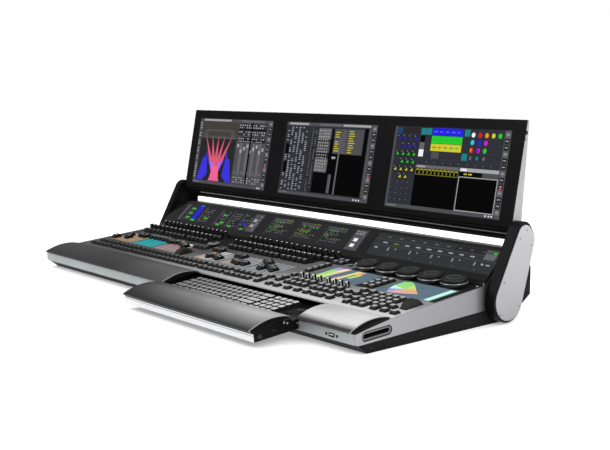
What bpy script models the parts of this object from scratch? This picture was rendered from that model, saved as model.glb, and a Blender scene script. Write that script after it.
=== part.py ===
"""A lighting control desk: a sloped control surface with faders, knobs, keys and encoders, a strip of narrow
displays behind it, a fold-down wing of three large displays, and a keyboard drawer that slides out of the front.

Sizes are in millimetres and become metres in the helper functions. A place on the desk is (x, depth, height):
x is to the operator's right of the middle, depth runs away from the operator from the base's front edge, and
height is above the floor that the base rests on. The origin is the middle of the base's flat bottom.
"""

import math

import bmesh
import bpy
from mathutils import Matrix, Vector

MM = 0.001
GAP = 0.4  # clearance between pieces that rest on each other

# Overall sizes
BASE_DEPTH = 430.0
HALF_WIDTH = 616.7  # to the outside of the side panels
SHEET = 2.5
SHOULDER_OUTSIDE = 642.0

# Control surface
DECK_FRONT, DECK_BACK = 64.3, 342.0
DECK_HEIGHT = 58.1  # at DECK_FRONT
DECK_SLOPE = math.radians(5.2)
DECK_SHEET = 3.0
UPSTAND = 7.5  # height of the deck's rear edge, which the letterbox stands on

# Playback columns: groups of five, each with two knobs, four keys and a fader. Two more columns have no fader.
COLUMN_PITCH = 20.0
COLUMNS = 5
LEFT_GROUPS = (-568.0, -460.5, -353.0)
RIGHT_GROUPS = (-158.0, -51.0, 56.0)
EXTRA_COLUMNS = (162.0, 182.0)
MASTER_KEYS = -256.0
FRONT_KEY_DEPTHS = (92.0, 121.0)
BACK_KEY_DEPTHS = (263.0, 308.0)
KNOB_DEPTHS = (281.0, 331.0)
KNOB_HEIGHT = 20.5
FADER_MIDDLE = 190.0
FADER_TRAVEL = 60.0
FADER_SLOT = 76.0
DIAL_X, DIAL_DEPTH, DIAL_RADIUS, DIAL_HEIGHT = -216.0, 249.0, 17.0, 13.0

# Where each fader cap stands at rest, as a share of its travel from the operator's end
FADER_REST = (
    0.05, 0.62, 0.30, 0.86, 0.86,
    0.96, 0.96, 0.96, 0.96, 0.96,
    0.80, 0.88, 0.92, 0.80, 0.62,
    0.98, 0.98, 0.12, 0.24, 0.10,
    0.80, 0.80, 0.14, 0.05, 0.10,
    0.92, 0.70, 0.05, 0.30, 0.12,
)

# Command section
ENCODER_X = tuple(309.6 + 63.6 * i for i in range(5))
ENCODER_DEPTH = 306.0
SCREEN_X = (305.0, 521.0)
SCREEN_DEPTH = 236.0
SCREEN_WIDTH, SCREEN_LENGTH = 151.0, 91.0
STICK_X = tuple(234.0 + 20.0 * i + 8.0 * (i // 4) for i in range(8))
STICK_DEPTH = 171.0
WHEELS = ((-224.0, 158.0), (592.0, 146.0))
WHEEL_RADIUS, WHEEL_WIDTH, WHEEL_DROP = 27.0, 20.0, 12.0

# Blocks of command keys: (first x, first depth, columns, rows)
KEY_PITCH = 19.2
KEY_BLOCKS = (
    (172.0, 90.5, 1, 1),
    (214.0, 90.5, 1, 1),
    (242.0, 90.5, 1, 1),
    (278.0, 90.5, 1, 1),
    (311.0, 90.5, 1, 1),
    (341.0, 90.5, 1, 1),
    (367.0, 90.5, 2, 1),
    (414.0, 90.5, 1, 1),
    (465.5, 90.5, 1, 1),
    (491.0, 90.5, 2, 1),
    (545.0, 90.5, 1, 1),
    (573.0, 90.5, 1, 1),
    (600.0, 90.5, 1, 1),
    (171.0, 108.5, 1, 1),
    (171.0, 131.0, 1, 1),
    (204.5, 126.0, 1, 2),
    (206.0, 171.5, 1, 1),
    (239.0, 123.0, 4, 1),
    (239.0, 148.0, 4, 1),
    (326.5, 123.0, 4, 1),
    (326.5, 148.0, 4, 1),
    (414.0, 115.5, 1, 1),
    (440.0, 115.5, 1, 1),
    (465.5, 115.5, 1, 1),
    (413.5, 143.5, 1, 1),
    (439.5, 143.5, 1, 1),
    (465.5, 143.5, 1, 1),
    (436.0, 169.0, 1, 1),
    (462.5, 169.0, 1, 1),
    (491.0, 109.0, 4, 4),
    (570.0, 116.5, 1, 1),
    (202.0, 218.5, 1, 4),
    (407.5, 200.0, 2, 4),
    (199.0, 305.0, 2, 2),
    (-254.0, 221.0, 3, 1),
)

# Letterbox panel: three narrow displays in one leaning sheet
LETTERBOX_TILT = math.radians(41.9)
LETTERBOX_FOOT = (344.0, 91.9)
LETTERBOX_LENGTH = 94.5
LETTERBOX_SHEET = 4.0

# Display wing
WING_PIVOT = (446.0, 197.0)
WING_LEAN = math.radians(11.2)
WING_HEIGHT = 228.0
WING_RADIUS = 17.5
WING_TOP_THICKNESS = 8.5
WING_HALF_WIDTH = 612.0
WING_GLASS = 3.0
HINGE_RADIUS = 8.0
HINGE_BORE = 9.0

# Shoulders: a large circle below and two smaller ones round the hinge, joined by tangents, and each one's cover.
# The circles go round against the clock, each (depth, height, radius).
SHOULDER = ((389.5, 51.5, 48.5), (448.0, 172.0, 27.0), (437.0, 186.0, 27.0))
COVER = ((391.0, 51.0, 44.0), (447.0, 171.0, 25.5), (439.0, 182.5, 23.0))
COVER_SHEET = 1.6

# Keyboard drawer, which slides parallel to the control surface
DRAWER_LEFT, DRAWER_RIGHT = -13.5, 455.0
DRAWER_FRONT, DRAWER_FLOOR = -31.0, 23.2
DRAWER_LENGTH = 216.0
DRAWER_TRAVEL = 110.0
KEYBOARD_PITCH = 19.0
KEYBOARD_ROWS, KEYBOARD_COLUMNS = 5, 20

ARMREST_CREST, ARMREST_CREST_DEPTH, ARMREST_CURVE = 64.5, 28.0, 0.00371

BLACK = ((0.012, 0.012, 0.013), 0.42, 0.0)
GREY = ((0.32, 0.32, 0.33), 0.38, 0.85)
SILVER = ((0.62, 0.62, 0.63), 0.30, 0.9)
GLOSS = ((0.006, 0.006, 0.007), 0.12, 0.0)
PANEL = ((0.035, 0.036, 0.038), 0.45, 0.0)
KEY = ((0.015, 0.015, 0.016), 0.5, 0.0)
LIGHT = ((0.95, 0.97, 1.0), 0.5, 0.0)
STEEL = ((0.5, 0.5, 0.52), 0.35, 1.0)


def point(x, depth, height):
    """A place on the desk, in metres from the middle of the base's bottom."""
    return Vector((x, depth - BASE_DEPTH / 2, height)) * MM


def deck_point(x, depth, lift=0.0):
    """A place on the control surface, lifted at right angles to it."""
    height = DECK_HEIGHT + (depth - DECK_FRONT) * math.tan(DECK_SLOPE)
    return point(x, depth - lift * math.sin(DECK_SLOPE), height + lift * math.cos(DECK_SLOPE))


def tilt(angle):
    return Matrix.Rotation(angle, 4, "X")


def deck_frame(x, depth, lift=0.0):
    return Matrix.Translation(deck_point(x, depth, lift)) @ tilt(DECK_SLOPE)


def new_collection(name):
    collection = bpy.data.collections.new(name)
    bpy.context.scene.collection.children.link(collection)
    return collection


def clear_scene():
    for obj in list(bpy.data.objects):
        bpy.data.objects.remove(obj)


clear_scene()
DESK = new_collection("lighting_desk")
CUTTERS = new_collection("cutters")


def material(name, look):
    """The named Principled material, made on first use. A look is (colour, roughness, metallic)."""
    found = bpy.data.materials.get(name)
    if found:
        return found
    colour, roughness, metallic = look
    made = bpy.data.materials.new(name)
    made.use_nodes = True
    shader = made.node_tree.nodes["Principled BSDF"]
    shader.inputs["Base Color"].default_value = (*colour, 1.0)
    shader.inputs["Roughness"].default_value = roughness
    shader.inputs["Metallic"].default_value = metallic
    return made


def new_object(name, mesh, look=None, frame=None, collection=None):
    obj = bpy.data.objects.new(name, mesh)
    (collection or DESK).objects.link(obj)
    if frame is not None:
        obj.matrix_world = frame
    if look is not None and not mesh.materials:
        mesh.materials.append(material(name, look))
    return obj


def evaluated_mesh(obj, name):
    """The object's mesh with its modifiers applied and its caps welded; the object itself is removed."""
    bpy.context.view_layer.update()
    graph = bpy.context.evaluated_depsgraph_get()
    mesh = bpy.data.meshes.new_from_object(obj.evaluated_get(graph))
    mesh.name = name
    work = bmesh.new()
    work.from_mesh(mesh)
    bmesh.ops.remove_doubles(work, verts=work.verts, dist=1e-6)
    bmesh.ops.recalc_face_normals(work, faces=work.faces)
    work.to_mesh(mesh)
    work.free()
    bpy.data.objects.remove(obj)
    return mesh


def outline_mesh(name, outline, start, end):
    """A flat outline in (depth, height), extruded along x from start to end, as a welded mesh."""
    curve = bpy.data.curves.new(name, "CURVE")
    curve.dimensions = "2D"
    curve.fill_mode = "BOTH"
    curve.extrude = (end - start) / 2 * MM
    spline = curve.splines.new("POLY")
    spline.points.add(len(outline) - 1)
    for place, (depth, height) in zip(spline.points, outline):
        place.co = (depth * MM, height * MM, 0.0, 1.0)
    spline.use_cyclic_u = True
    sheet = bpy.data.objects.new(name, curve)
    CUTTERS.objects.link(sheet)
    mesh = evaluated_mesh(sheet, name)
    # The curve's own x, y and z become depth, height and x.
    mesh.transform(Matrix(((0, 0, 1, (start + end) / 2 * MM), (1, 0, 0, 0), (0, 1, 0, 0), (0, 0, 0, 1))))
    return mesh


def prism(name, outline, start, end, look=None, collection=None):
    """An outline in desk coordinates, extruded along x."""
    mesh = outline_mesh(name, outline, start, end)
    return new_object(name, mesh, look, Matrix.Translation(point(0, 0, 0)), collection)


def boxes_mesh(name, boxes):
    """One mesh of separate boxes, each ((centre x, y, z), (size x, y, z)) in millimetres."""
    work = bmesh.new()
    for centre, size in boxes:
        place = Matrix.Translation(Vector(centre) * MM) @ Matrix.Diagonal((*(s * MM for s in size), 1.0))
        bmesh.ops.create_cube(work, size=1.0, matrix=place)
    mesh = bpy.data.meshes.new(name)
    work.to_mesh(mesh)
    work.free()
    return mesh


def cylinder_mesh(name, radius, length, steps, axis="Z"):
    """A closed cylinder round its own origin."""
    work = bmesh.new()
    bmesh.ops.create_cone(
        work, cap_ends=True, segments=steps, radius1=radius * MM, radius2=radius * MM, depth=length * MM
    )
    if axis == "X":
        bmesh.ops.rotate(work, verts=work.verts, matrix=Matrix.Rotation(math.pi / 2, 3, "Y"))
    mesh = bpy.data.meshes.new(name)
    work.to_mesh(mesh)
    work.free()
    mesh.shade_smooth()
    mesh.set_sharp_from_angle(angle=math.radians(40))
    return mesh


def turned_mesh(name, profile, steps):
    """A profile of (radius, height) turned round the upright axis. It runs from the top down its outer side."""
    mesh = bpy.data.meshes.new(name)
    places = [(radius * MM, 0.0, height * MM) for radius, height in profile]
    mesh.from_pydata(places, [(i, i + 1) for i in range(len(places) - 1)], [])
    blank = bpy.data.objects.new(name, mesh)
    CUTTERS.objects.link(blank)
    screw = blank.modifiers.new("turn", "SCREW")
    screw.steps = screw.render_steps = steps
    screw.use_merge_vertices = True
    screw.merge_threshold = 0.00005
    return evaluated_mesh(blank, name)


def combine(obj, other, operation):
    """A Boolean of obj with a hidden helper object."""
    other.hide_render = True
    other.display_type = "WIRE"
    modifier = obj.modifiers.new(operation.lower(), "BOOLEAN")
    modifier.operation = operation
    modifier.solver = "EXACT"
    modifier.object = other
    return obj


def helper(name, mesh, frame):
    return new_object(name, mesh, None, frame, CUTTERS)


def arc(centre, radius, first, last, steps):
    """Points on a circle, from the first angle to the last, in degrees from the depth axis towards the height axis."""
    angles = [math.radians(first + (last - first) * i / steps) for i in range(steps + 1)]
    return [(centre[0] + radius * math.cos(a), centre[1] + radius * math.sin(a)) for a in angles]


# ---------------------------------------------------------------- base


def panel_foot(depth):
    """Height of the line where the side panels stand on the base tray."""
    return 18.0 + (depth + 24.0) * 0.0358


def make_base_tray():
    inside = HALF_WIDTH - SHEET
    outer = [(0, 0), (BASE_DEPTH, 0), (BASE_DEPTH, panel_foot(BASE_DEPTH)), (-24, panel_foot(-24))]
    tray = prism("base_tray", outer, -HALF_WIDTH, HALF_WIDTH, BLACK)
    back = BASE_DEPTH - SHEET
    hollow = [(0.8, SHEET), (back, SHEET), (back, 60), (-75.8, 60)]
    return combine(tray, prism("tray_hollow", hollow, -inside, inside, None, CUTTERS), "DIFFERENCE")


def make_front_rail():
    """An angle section along the whole front edge, cut away above its foot where the drawer passes."""
    outline = [(-30, 20), (-21, 20), (-21, 22), (-27.5, 22), (-27.5, 41), (-30, 41)]
    half = HALF_WIDTH - SHEET - GAP
    rail = prism("front_rail", outline, -half, half, SILVER)
    notch = [(-35, 22.2), (-25, 22.2), (-25, 50), (-35, 50)]
    cutter = prism("rail_notch", notch, DRAWER_LEFT - 1, DRAWER_RIGHT + 1, None, CUTTERS)
    return combine(rail, cutter, "DIFFERENCE")


def make_side_panels():
    """Each side's sheet, cut for the carrying pocket near the front."""
    foot = BASE_DEPTH - GAP
    outline = [
        (-24, panel_foot(-24) + GAP), (foot, panel_foot(foot) + GAP), (foot, 148), (408, 143),
        (341, 83.0), (66, 57.6), (-30.0, 42.0), (-30.0, 22.0),
    ]
    pocket = arc((-4.8, 33.4), 9.2, 90, 270, 6) + arc((56.3, 36.8), 9.2, -90, 90, 6)
    for side, x in (("left", -HALF_WIDTH), ("right", HALF_WIDTH)):
        inner = x - math.copysign(SHEET, x)
        panel = prism("side_panel_" + side, outline, min(x, inner), max(x, inner), GREY)
        name = "pocket_" + side
        cutter = prism(name, pocket, min(x, inner) - 5, max(x, inner) + 5, None, CUTTERS)
        combine(panel, cutter, "DIFFERENCE")


def armrest_outline():
    """A slab whose top is a shallow arch."""
    depths = [-41.0, -34.0, -24.0, -12.0, 2.0, 18.0, 36.0, 50.0, 63.6]
    arch = [(d, ARMREST_CREST - ARMREST_CURVE * (d - ARMREST_CREST_DEPTH) ** 2) for d in depths]
    return [(-41.0, 45.4), (-35.0, 41.5), (62.0, 58.4)] + arch[::-1]


def make_armrests():
    prism("armrest_left", armrest_outline(), -HALF_WIDTH - 0.5, DRAWER_LEFT - 1.5, BLACK)
    prism("armrest_right", armrest_outline(), DRAWER_RIGHT + 1.5, HALF_WIDTH + 0.5, BLACK)


def make_processor_unit():
    mesh = boxes_mesh("processor_unit", [((-410, 0, 0), (310, 270, 40))])
    return new_object("processor_unit", mesh, STEEL, Matrix.Translation(point(0, 270, 24)))


# ---------------------------------------------------------------- control surface


def column_positions(groups):
    return [start + COLUMN_PITCH * i for start in groups for i in range(COLUMNS)]


PLAYBACK_X = column_positions(LEFT_GROUPS + RIGHT_GROUPS)


def key_places():
    """Every key on the control surface: (x, depth, width, length, height above the surface)."""
    keys = []
    for depth in FRONT_KEY_DEPTHS:
        keys += [(x, depth, 15.0, 15.0, 6.0) for x in column_positions(LEFT_GROUPS + (MASTER_KEYS,) + RIGHT_GROUPS)]
    near, far = BACK_KEY_DEPTHS
    keys += [(x, near, 14.0, 12.0, 11.0) for x in PLAYBACK_X]
    keys += [(x, far, 14.0, 12.0, 11.0) for x in PLAYBACK_X + list(EXTRA_COLUMNS)]
    for x, depth, columns, rows in KEY_BLOCKS:
        for row in range(rows):
            for column in range(columns):
                keys.append((x + KEY_PITCH * column, depth + KEY_PITCH * row, 16.0, 16.0, 6.5))
    keys += [(x, STICK_DEPTH, 7.0, 9.0, 13.0) for x in STICK_X]
    return keys


def key_windows():
    """Openings in the control surface that each let one run of keys through: (x0, x1, depth0, depth1)."""
    edge = 1.0
    windows = []
    for start in LEFT_GROUPS + (MASTER_KEYS,) + RIGHT_GROUPS:
        for depth in FRONT_KEY_DEPTHS:
            windows.append((start - 7 - edge, start + 87 + edge, depth - 7.5 - edge, depth + 7.5 + edge))
    runs = [(start, start + 80, depth) for start in LEFT_GROUPS + RIGHT_GROUPS for depth in BACK_KEY_DEPTHS]
    runs.append((*EXTRA_COLUMNS, BACK_KEY_DEPTHS[1]))
    for first, last, depth in runs:
        windows.append((first - 7 - edge, last + 7 + edge, depth - 6 - edge, depth + 6 + edge))
    for x, depth, columns, rows in KEY_BLOCKS:
        last_x, last_depth = x + KEY_PITCH * (columns - 1), depth + KEY_PITCH * (rows - 1)
        windows.append((x - 7.5 - edge, last_x + 7.5 + edge, depth - 7.5 - edge, last_depth + 7.5 + edge))
    for first, last in ((STICK_X[0], STICK_X[3]), (STICK_X[4], STICK_X[7])):
        windows.append((first - 4.5, last + 4.5, STICK_DEPTH - 5.5, STICK_DEPTH + 5.5))
    return windows


def deck_box(x0, x1, depth0, depth1, low, high):
    """A box in the frame of the deck's front edge, whose own y runs up the slope."""
    stretch = 1 / math.cos(DECK_SLOPE)
    y0, y1 = (depth0 - DECK_FRONT) * stretch, (depth1 - DECK_FRONT) * stretch
    return ((x0 + x1) / 2, (y0 + y1) / 2, (low + high) / 2), (x1 - x0, y1 - y0, high - low)


def make_control_plate():
    frame = deck_frame(0, DECK_FRONT)
    half = HALF_WIDTH - SHEET - GAP
    sheet = boxes_mesh("control_plate", [deck_box(-half, half, DECK_FRONT, DECK_BACK, -DECK_SHEET, 0)])
    plate = new_object("control_plate", sheet, PANEL, frame)
    holes = [deck_box(*window, -10, 10) for window in key_windows()]
    near, far = FADER_MIDDLE - FADER_SLOT / 2, FADER_MIDDLE + FADER_SLOT / 2
    holes += [deck_box(x - 1.8, x + 1.8, near, far, -10, 10) for x in PLAYBACK_X]
    half_wheel = WHEEL_WIDTH / 2 + 1.5
    holes += [deck_box(x - half_wheel, x + half_wheel, d - 28, d + 28, -10, 10) for x, d in WHEELS]
    half_x, half_y = SCREEN_WIDTH / 2 + 1, SCREEN_LENGTH / 2 + 1
    holes += [
        deck_box(x - half_x, x + half_x, SCREEN_DEPTH - half_y, SCREEN_DEPTH + half_y, -1.2, 10) for x in SCREEN_X
    ]
    upstand = boxes_mesh("upstand", [deck_box(-half, half, DECK_BACK - DECK_SHEET, DECK_BACK, -1, UPSTAND)])
    combine(plate, helper("upstand", upstand, frame), "UNION")
    combine(plate, helper("deck_holes", boxes_mesh("deck_holes", holes), frame), "DIFFERENCE")
    bore = cylinder_mesh("encoder_bore", 6.8, 20, 12)
    for i, x in enumerate(ENCODER_X):
        cutter = helper(f"encoder_bore_{i}", bore, deck_frame(x, ENCODER_DEPTH))
        combine(plate, cutter, "DIFFERENCE")


def make_panel_keys():
    """All the keys of the control surface, standing on one sheet under it that is cut away round the faders."""
    frame = deck_frame(0, DECK_FRONT)
    top, bottom = -DECK_SHEET - GAP, -DECK_SHEET - GAP - 1.2
    mat = new_object(
        "panel_keys", boxes_mesh("panel_keys", [deck_box(-590, 610, 66.5, 334, bottom, top)]), KEY, frame
    )
    near, far = FADER_MIDDLE - FADER_SLOT / 2 - 4, FADER_MIDDLE + FADER_SLOT / 2 + 4
    openings = [deck_box(start - 8, start + 88, near, far, -20, 10) for start in LEFT_GROUPS + RIGHT_GROUPS]
    openings += [deck_box(x - 15, x + 15, depth - 32, depth + 32, -20, 10) for x, depth in WHEELS]
    openings.append(deck_box(270, 620, 286, 350, -20, 10))
    combine(mat, helper("mat_openings", boxes_mesh("mat_openings", openings), frame), "DIFFERENCE")
    keys = [
        deck_box(x - width / 2, x + width / 2, depth - length / 2, depth + length / 2, (top + bottom) / 2, height)
        for x, depth, width, length, height in key_places()
    ]
    return combine(mat, helper("key_tops", boxes_mesh("key_tops", keys), frame), "UNION")


def make_knob_bank():
    """Two rows of small knobs and the master dial, joined by thin strips that lie on the surface."""
    frame = deck_frame(0, DECK_FRONT)
    near, far = KNOB_DEPTHS
    left, right = LEFT_GROUPS[0] - 8, RIGHT_GROUPS[-1] + 88
    strip = boxes_mesh("knob_bank", [deck_box(left, EXTRA_COLUMNS[1] + 8, far - 5, far + 5, GAP, 1.2)])
    bank = new_object("knob_bank", strip, KEY, frame)
    row = helper("knob_strip", boxes_mesh("knob_strip", [deck_box(left, right, near - 3, near + 5, GAP, 1.2)]), frame)
    link = boxes_mesh("knob_link", [deck_box(DIAL_X - 6, DIAL_X + 6, DIAL_DEPTH, far, GAP, 1.1)])
    combine(bank, helper("knob_link", link, frame), "UNION")
    combine(bank, row, "UNION")
    work = bmesh.new()
    places = [(x, depth) for depth in KNOB_DEPTHS for x in PLAYBACK_X] + [(x, far) for x in EXTRA_COLUMNS]
    for x, depth in places:
        centre, size = deck_box(x, x, depth, depth, 0.8, KNOB_HEIGHT)
        bmesh.ops.create_cone(
            work, cap_ends=True, segments=8, radius1=6.2 * MM, radius2=5.4 * MM, depth=size[2] * MM,
            matrix=Matrix.Translation(Vector(centre) * MM),
        )
    mesh = bpy.data.meshes.new("knobs")
    work.to_mesh(mesh)
    work.free()
    combine(bank, helper("knobs", mesh, frame), "UNION")
    centre, size = deck_box(DIAL_X, DIAL_X, DIAL_DEPTH, DIAL_DEPTH, 0.8, DIAL_HEIGHT)
    dial = cylinder_mesh("dial", DIAL_RADIUS, size[2], 20)
    return combine(bank, helper("dial", dial, frame @ Matrix.Translation(Vector(centre) * MM)), "UNION")


def fader_mesh():
    """A fader cap with a dished top, on the stem that goes down through its slot."""
    outline = [(-11, 2), (11, 2), (9.5, 7), (5, 12), (0, 10.4), (-5, 12), (-9.5, 7)]
    cap = bpy.data.objects.new("fader_cap", outline_mesh("fader_cap", outline, -5.5, 5.5))
    CUTTERS.objects.link(cap)
    stem = helper("fader_stem", boxes_mesh("fader_stem", [((0, 0, -1.75), (1.8, 8, 9.5))]), Matrix.Identity(4))
    combine(cap, stem, "UNION")
    return evaluated_mesh(cap, "fader")


def make_faders():
    mesh = fader_mesh()
    mesh.materials.append(material("fader", KEY))
    for i, x in enumerate(PLAYBACK_X):
        depth = FADER_MIDDLE + (FADER_REST[i] - 0.5) * FADER_TRAVEL
        new_object(f"fader_{i + 1:02d}", mesh, None, deck_frame(x, depth))


def make_encoders():
    """Each has a flat disc above a wide outer ring, on a shaft through the surface."""
    profile = [
        (0, 20), (26, 20), (27.5, 18.5), (27.5, 14), (24.5, 13), (24.5, 12.2), (29.5, 12), (30.5, 11), (30.5, 7.5),
        (27, 3), (25, 1), (6, 1), (6, -9), (0, -9),
    ]
    mesh = turned_mesh("encoder", profile, 24)
    mesh.materials.append(material("encoder", GLOSS))
    for i, x in enumerate(ENCODER_X):
        new_object(f"encoder_{i + 1}", mesh, None, deck_frame(x, ENCODER_DEPTH))


def make_level_wheels():
    mesh = cylinder_mesh("level_wheel", WHEEL_RADIUS, WHEEL_WIDTH, 24, "X")
    mesh.materials.append(material("level_wheel", KEY))
    for name, (x, depth) in zip(("level_wheel_left", "level_wheel_right"), WHEELS):
        new_object(name, mesh, None, deck_frame(x, depth, -WHEEL_DROP))


# ---------------------------------------------------------------- letterbox, rear and shoulders


def make_letterbox():
    half = HALF_WIDTH - SHEET - GAP
    slab = ((0, LETTERBOX_LENGTH / 2, -LETTERBOX_SHEET / 2), (2 * half, LETTERBOX_LENGTH, LETTERBOX_SHEET))
    frame = Matrix.Translation(point(0, *LETTERBOX_FOOT)) @ tilt(LETTERBOX_TILT)
    new_object("letterbox_glass", boxes_mesh("letterbox_glass", [slab]), GLOSS, frame)


def make_light_bar():
    mesh = boxes_mesh("light_bar", [((0, 0, 0), (1157, 7, 13))])
    new_object("light_bar", mesh, LIGHT, Matrix.Translation(point(0, 455, 158.6)))


def make_rear_housing():
    """A bent sheet that closes the back, open towards the inside, with a ledge that carries the light bar."""
    half = 604.0
    outer = [
        (BASE_DEPTH + GAP, 0.5), (488, 26), (513, 42), (513, 101), (480, 184), (471, 184), (460, 170),
        (460, 151.5), (418, 151.5), (418, 149), (BASE_DEPTH + GAP, 149),
    ]
    housing = prism("rear_housing", outer, -half, half, BLACK)
    hollow = [(400, 4), (BASE_DEPTH + 1, 3.5), (487, 28.8), (510.5, 43.5), (510.5, 100), (491.5, 149), (400, 149)]
    inner = half - SHEET
    return combine(housing, prism("rear_hollow", hollow, -inner, inner, None, CUTTERS), "DIFFERENCE")


def hull_outline(circles, steps):
    """The outline round a ring of circles and their outer tangents."""
    leaving = []
    for (y0, z0, r0), (y1, z1, r1) in zip(circles, circles[1:] + circles[:1]):
        along = math.degrees(math.atan2(z1 - z0, y1 - y0))
        leaving.append(along - math.degrees(math.acos((r0 - r1) / math.hypot(y1 - y0, z1 - z0))))
    outline = []
    for i, (y, z, radius) in enumerate(circles):
        arriving = leaving[i - 1]
        turn = (leaving[i] - arriving) % 360
        outline += arc((y, z), radius, arriving, arriving + turn, max(2, round(steps * turn / 360)))
    return outline


def make_shoulders():
    body, plate = hull_outline(SHOULDER, 36), hull_outline(COVER, 36)
    bore = cylinder_mesh("hinge_bore", HINGE_BORE, 44, 24, "X")
    for side, sign in (("left", -1), ("right", 1)):
        inner, outer = sign * (HALF_WIDTH + GAP), sign * (SHOULDER_OUTSIDE - COVER_SHEET - GAP)
        shoulder = prism("shoulder_" + side, body, min(inner, outer), max(inner, outer), BLACK)
        cutter = helper(
            "hinge_bore_" + side, bore, Matrix.Translation(point(inner - sign * 3, *WING_PIVOT))
        )
        combine(shoulder, cutter, "DIFFERENCE")
        low, high = sign * (SHOULDER_OUTSIDE - COVER_SHEET), sign * SHOULDER_OUTSIDE
        prism("shoulder_cover_" + side, plate, min(low, high), max(low, high), GREY)


# ---------------------------------------------------------------- display wing


def wing_frame():
    """The wing's own frame: origin on the hinge axis, its y towards the back and its z up the glass."""
    return Matrix.Translation(point(0, *WING_PIVOT)) @ tilt(-WING_LEAN)


def make_wing():
    back_top = -WING_RADIUS + WING_TOP_THICKNESS
    shell_front = -WING_RADIUS + WING_GLASS + GAP
    start = 180 + math.degrees(math.acos(-shell_front / WING_RADIUS))
    outline = arc((0, 0), WING_RADIUS, start, 360, 10)
    outline += [(back_top, WING_HEIGHT), (shell_front, WING_HEIGHT)]
    half = WING_HALF_WIDTH
    shell = new_object("wing_shell", outline_mesh("wing_shell", outline, -half, half), SILVER, wing_frame())
    hollow = [(-40, 0)] + arc((0, 0), WING_RADIUS - SHEET, 200, 360, 8)
    hollow += [(back_top - SHEET, WING_HEIGHT - 4), (-40, WING_HEIGHT - 4)]
    cutter = helper("wing_hollow", outline_mesh("wing_hollow", hollow, 3 - half, half - 3), wing_frame())
    combine(shell, cutter, "DIFFERENCE")
    bore = helper("wing_bore", cylinder_mesh("wing_bore", HINGE_RADIUS + GAP, 2 * half + 20, 24, "X"), wing_frame())
    combine(shell, bore, "DIFFERENCE")
    glass = ((0, -WING_RADIUS + WING_GLASS / 2, (WING_HEIGHT - 4) / 2), (2 * half, WING_GLASS, WING_HEIGHT + 4))
    new_object("wing_glass", boxes_mesh("wing_glass", [glass]), GLOSS, wing_frame())
    tube = cylinder_mesh("wing_hinge_tube", HINGE_RADIUS, 2 * (SHOULDER_OUTSIDE - 6), 24, "X")
    new_object("wing_hinge_tube", tube, STEEL, wing_frame())


# ---------------------------------------------------------------- keyboard drawer


def drawer_empty():
    """The drawer is modelled shut; this empty on its slide draws it out to its rest position."""
    empty = bpy.data.objects.new("drawer_slide", None)
    DESK.objects.link(empty)
    pulled = Vector((0, math.cos(DECK_SLOPE), math.sin(DECK_SLOPE))) * (-DRAWER_TRAVEL * MM)
    empty.location = pulled
    return empty


def in_drawer(obj, slide):
    obj.parent = slide
    return obj


def make_drawer():
    slide = drawer_empty()
    frame = Matrix.Translation(point(0, DRAWER_FRONT, DRAWER_FLOOR)) @ tilt(DECK_SLOPE)
    back = DRAWER_LENGTH
    floor = [(0, 0), (back, 0), (back, 9.5), (97, 9.5), (97, 2.5), (2.5, 2.5), (2.5, 18.2), (0, 18.2)]
    tray = new_object("drawer_tray", outline_mesh("drawer_tray", floor, DRAWER_LEFT, DRAWER_RIGHT), BLACK, frame)
    wall = [(0, 0), (back, 0), (back, 19), (97, 19), (93, 24.5), (3, 18.4), (0, 18.2)]
    for side, x0, x1 in (("left", DRAWER_LEFT, DRAWER_LEFT + 3), ("right", DRAWER_RIGHT - 3, DRAWER_RIGHT)):
        name = "drawer_wall_" + side
        combine(tray, helper(name, outline_mesh(name, wall, x0, x1), frame), "UNION")
    in_drawer(tray, slide)

    armrest = prism("drawer_armrest", armrest_outline(), DRAWER_LEFT, DRAWER_RIGHT, BLACK)
    in_drawer(armrest, slide)

    mat_low, mat_high, key_high = 12.6, 14.0, 19.5
    length = KEYBOARD_PITCH * KEYBOARD_ROWS
    first_y = 104.0
    keyboard = [((DRAWER_LEFT + DRAWER_RIGHT) / 2, first_y + length / 2, (mat_low + mat_high) / 2)]
    mat = (DRAWER_RIGHT - DRAWER_LEFT - 8, length + 10, mat_high - mat_low)
    board = new_object("keyboard_keys", boxes_mesh("keyboard_keys", [(keyboard[0], mat)]), KEY, frame)
    keys = []
    for row in range(KEYBOARD_ROWS):
        for column in range(KEYBOARD_COLUMNS):
            x = DRAWER_LEFT + 22 + KEYBOARD_PITCH * column
            y = first_y + KEYBOARD_PITCH * (row + 0.5)
            keys.append(((x, y, (mat_low + 0.7 + key_high) / 2), (14.8, 14.8, key_high - mat_low - 0.7)))
    tops = helper("keyboard_tops", boxes_mesh("keyboard_tops", keys), frame)
    combine(board, tops, "UNION")
    in_drawer(board, slide)
    for obj in CUTTERS.objects:
        if obj.name.startswith(("drawer_wall", "keyboard_tops")):
            in_drawer(obj, slide)


make_base_tray()
make_front_rail()
make_side_panels()
make_armrests()
make_processor_unit()
make_control_plate()
make_panel_keys()
make_knob_bank()
make_faders()
make_encoders()
make_level_wheels()
make_letterbox()
make_light_bar()
make_rear_housing()
make_shoulders()
make_wing()
make_drawer()
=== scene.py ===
"""The visual model of the lighting control desk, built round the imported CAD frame.

Places on the desk are (x, depth, height) in millimetres: x to the operator's right of the middle, depth away from
the operator from the base's front edge, height above the floor. Most pieces are built in a local frame of their own
(the control surface, the letterbox, the wing or the drawer), still in millimetres, and are moved into place in metres.
"""

import math
import random

import bpy
from mathutils import Matrix, Vector


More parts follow.
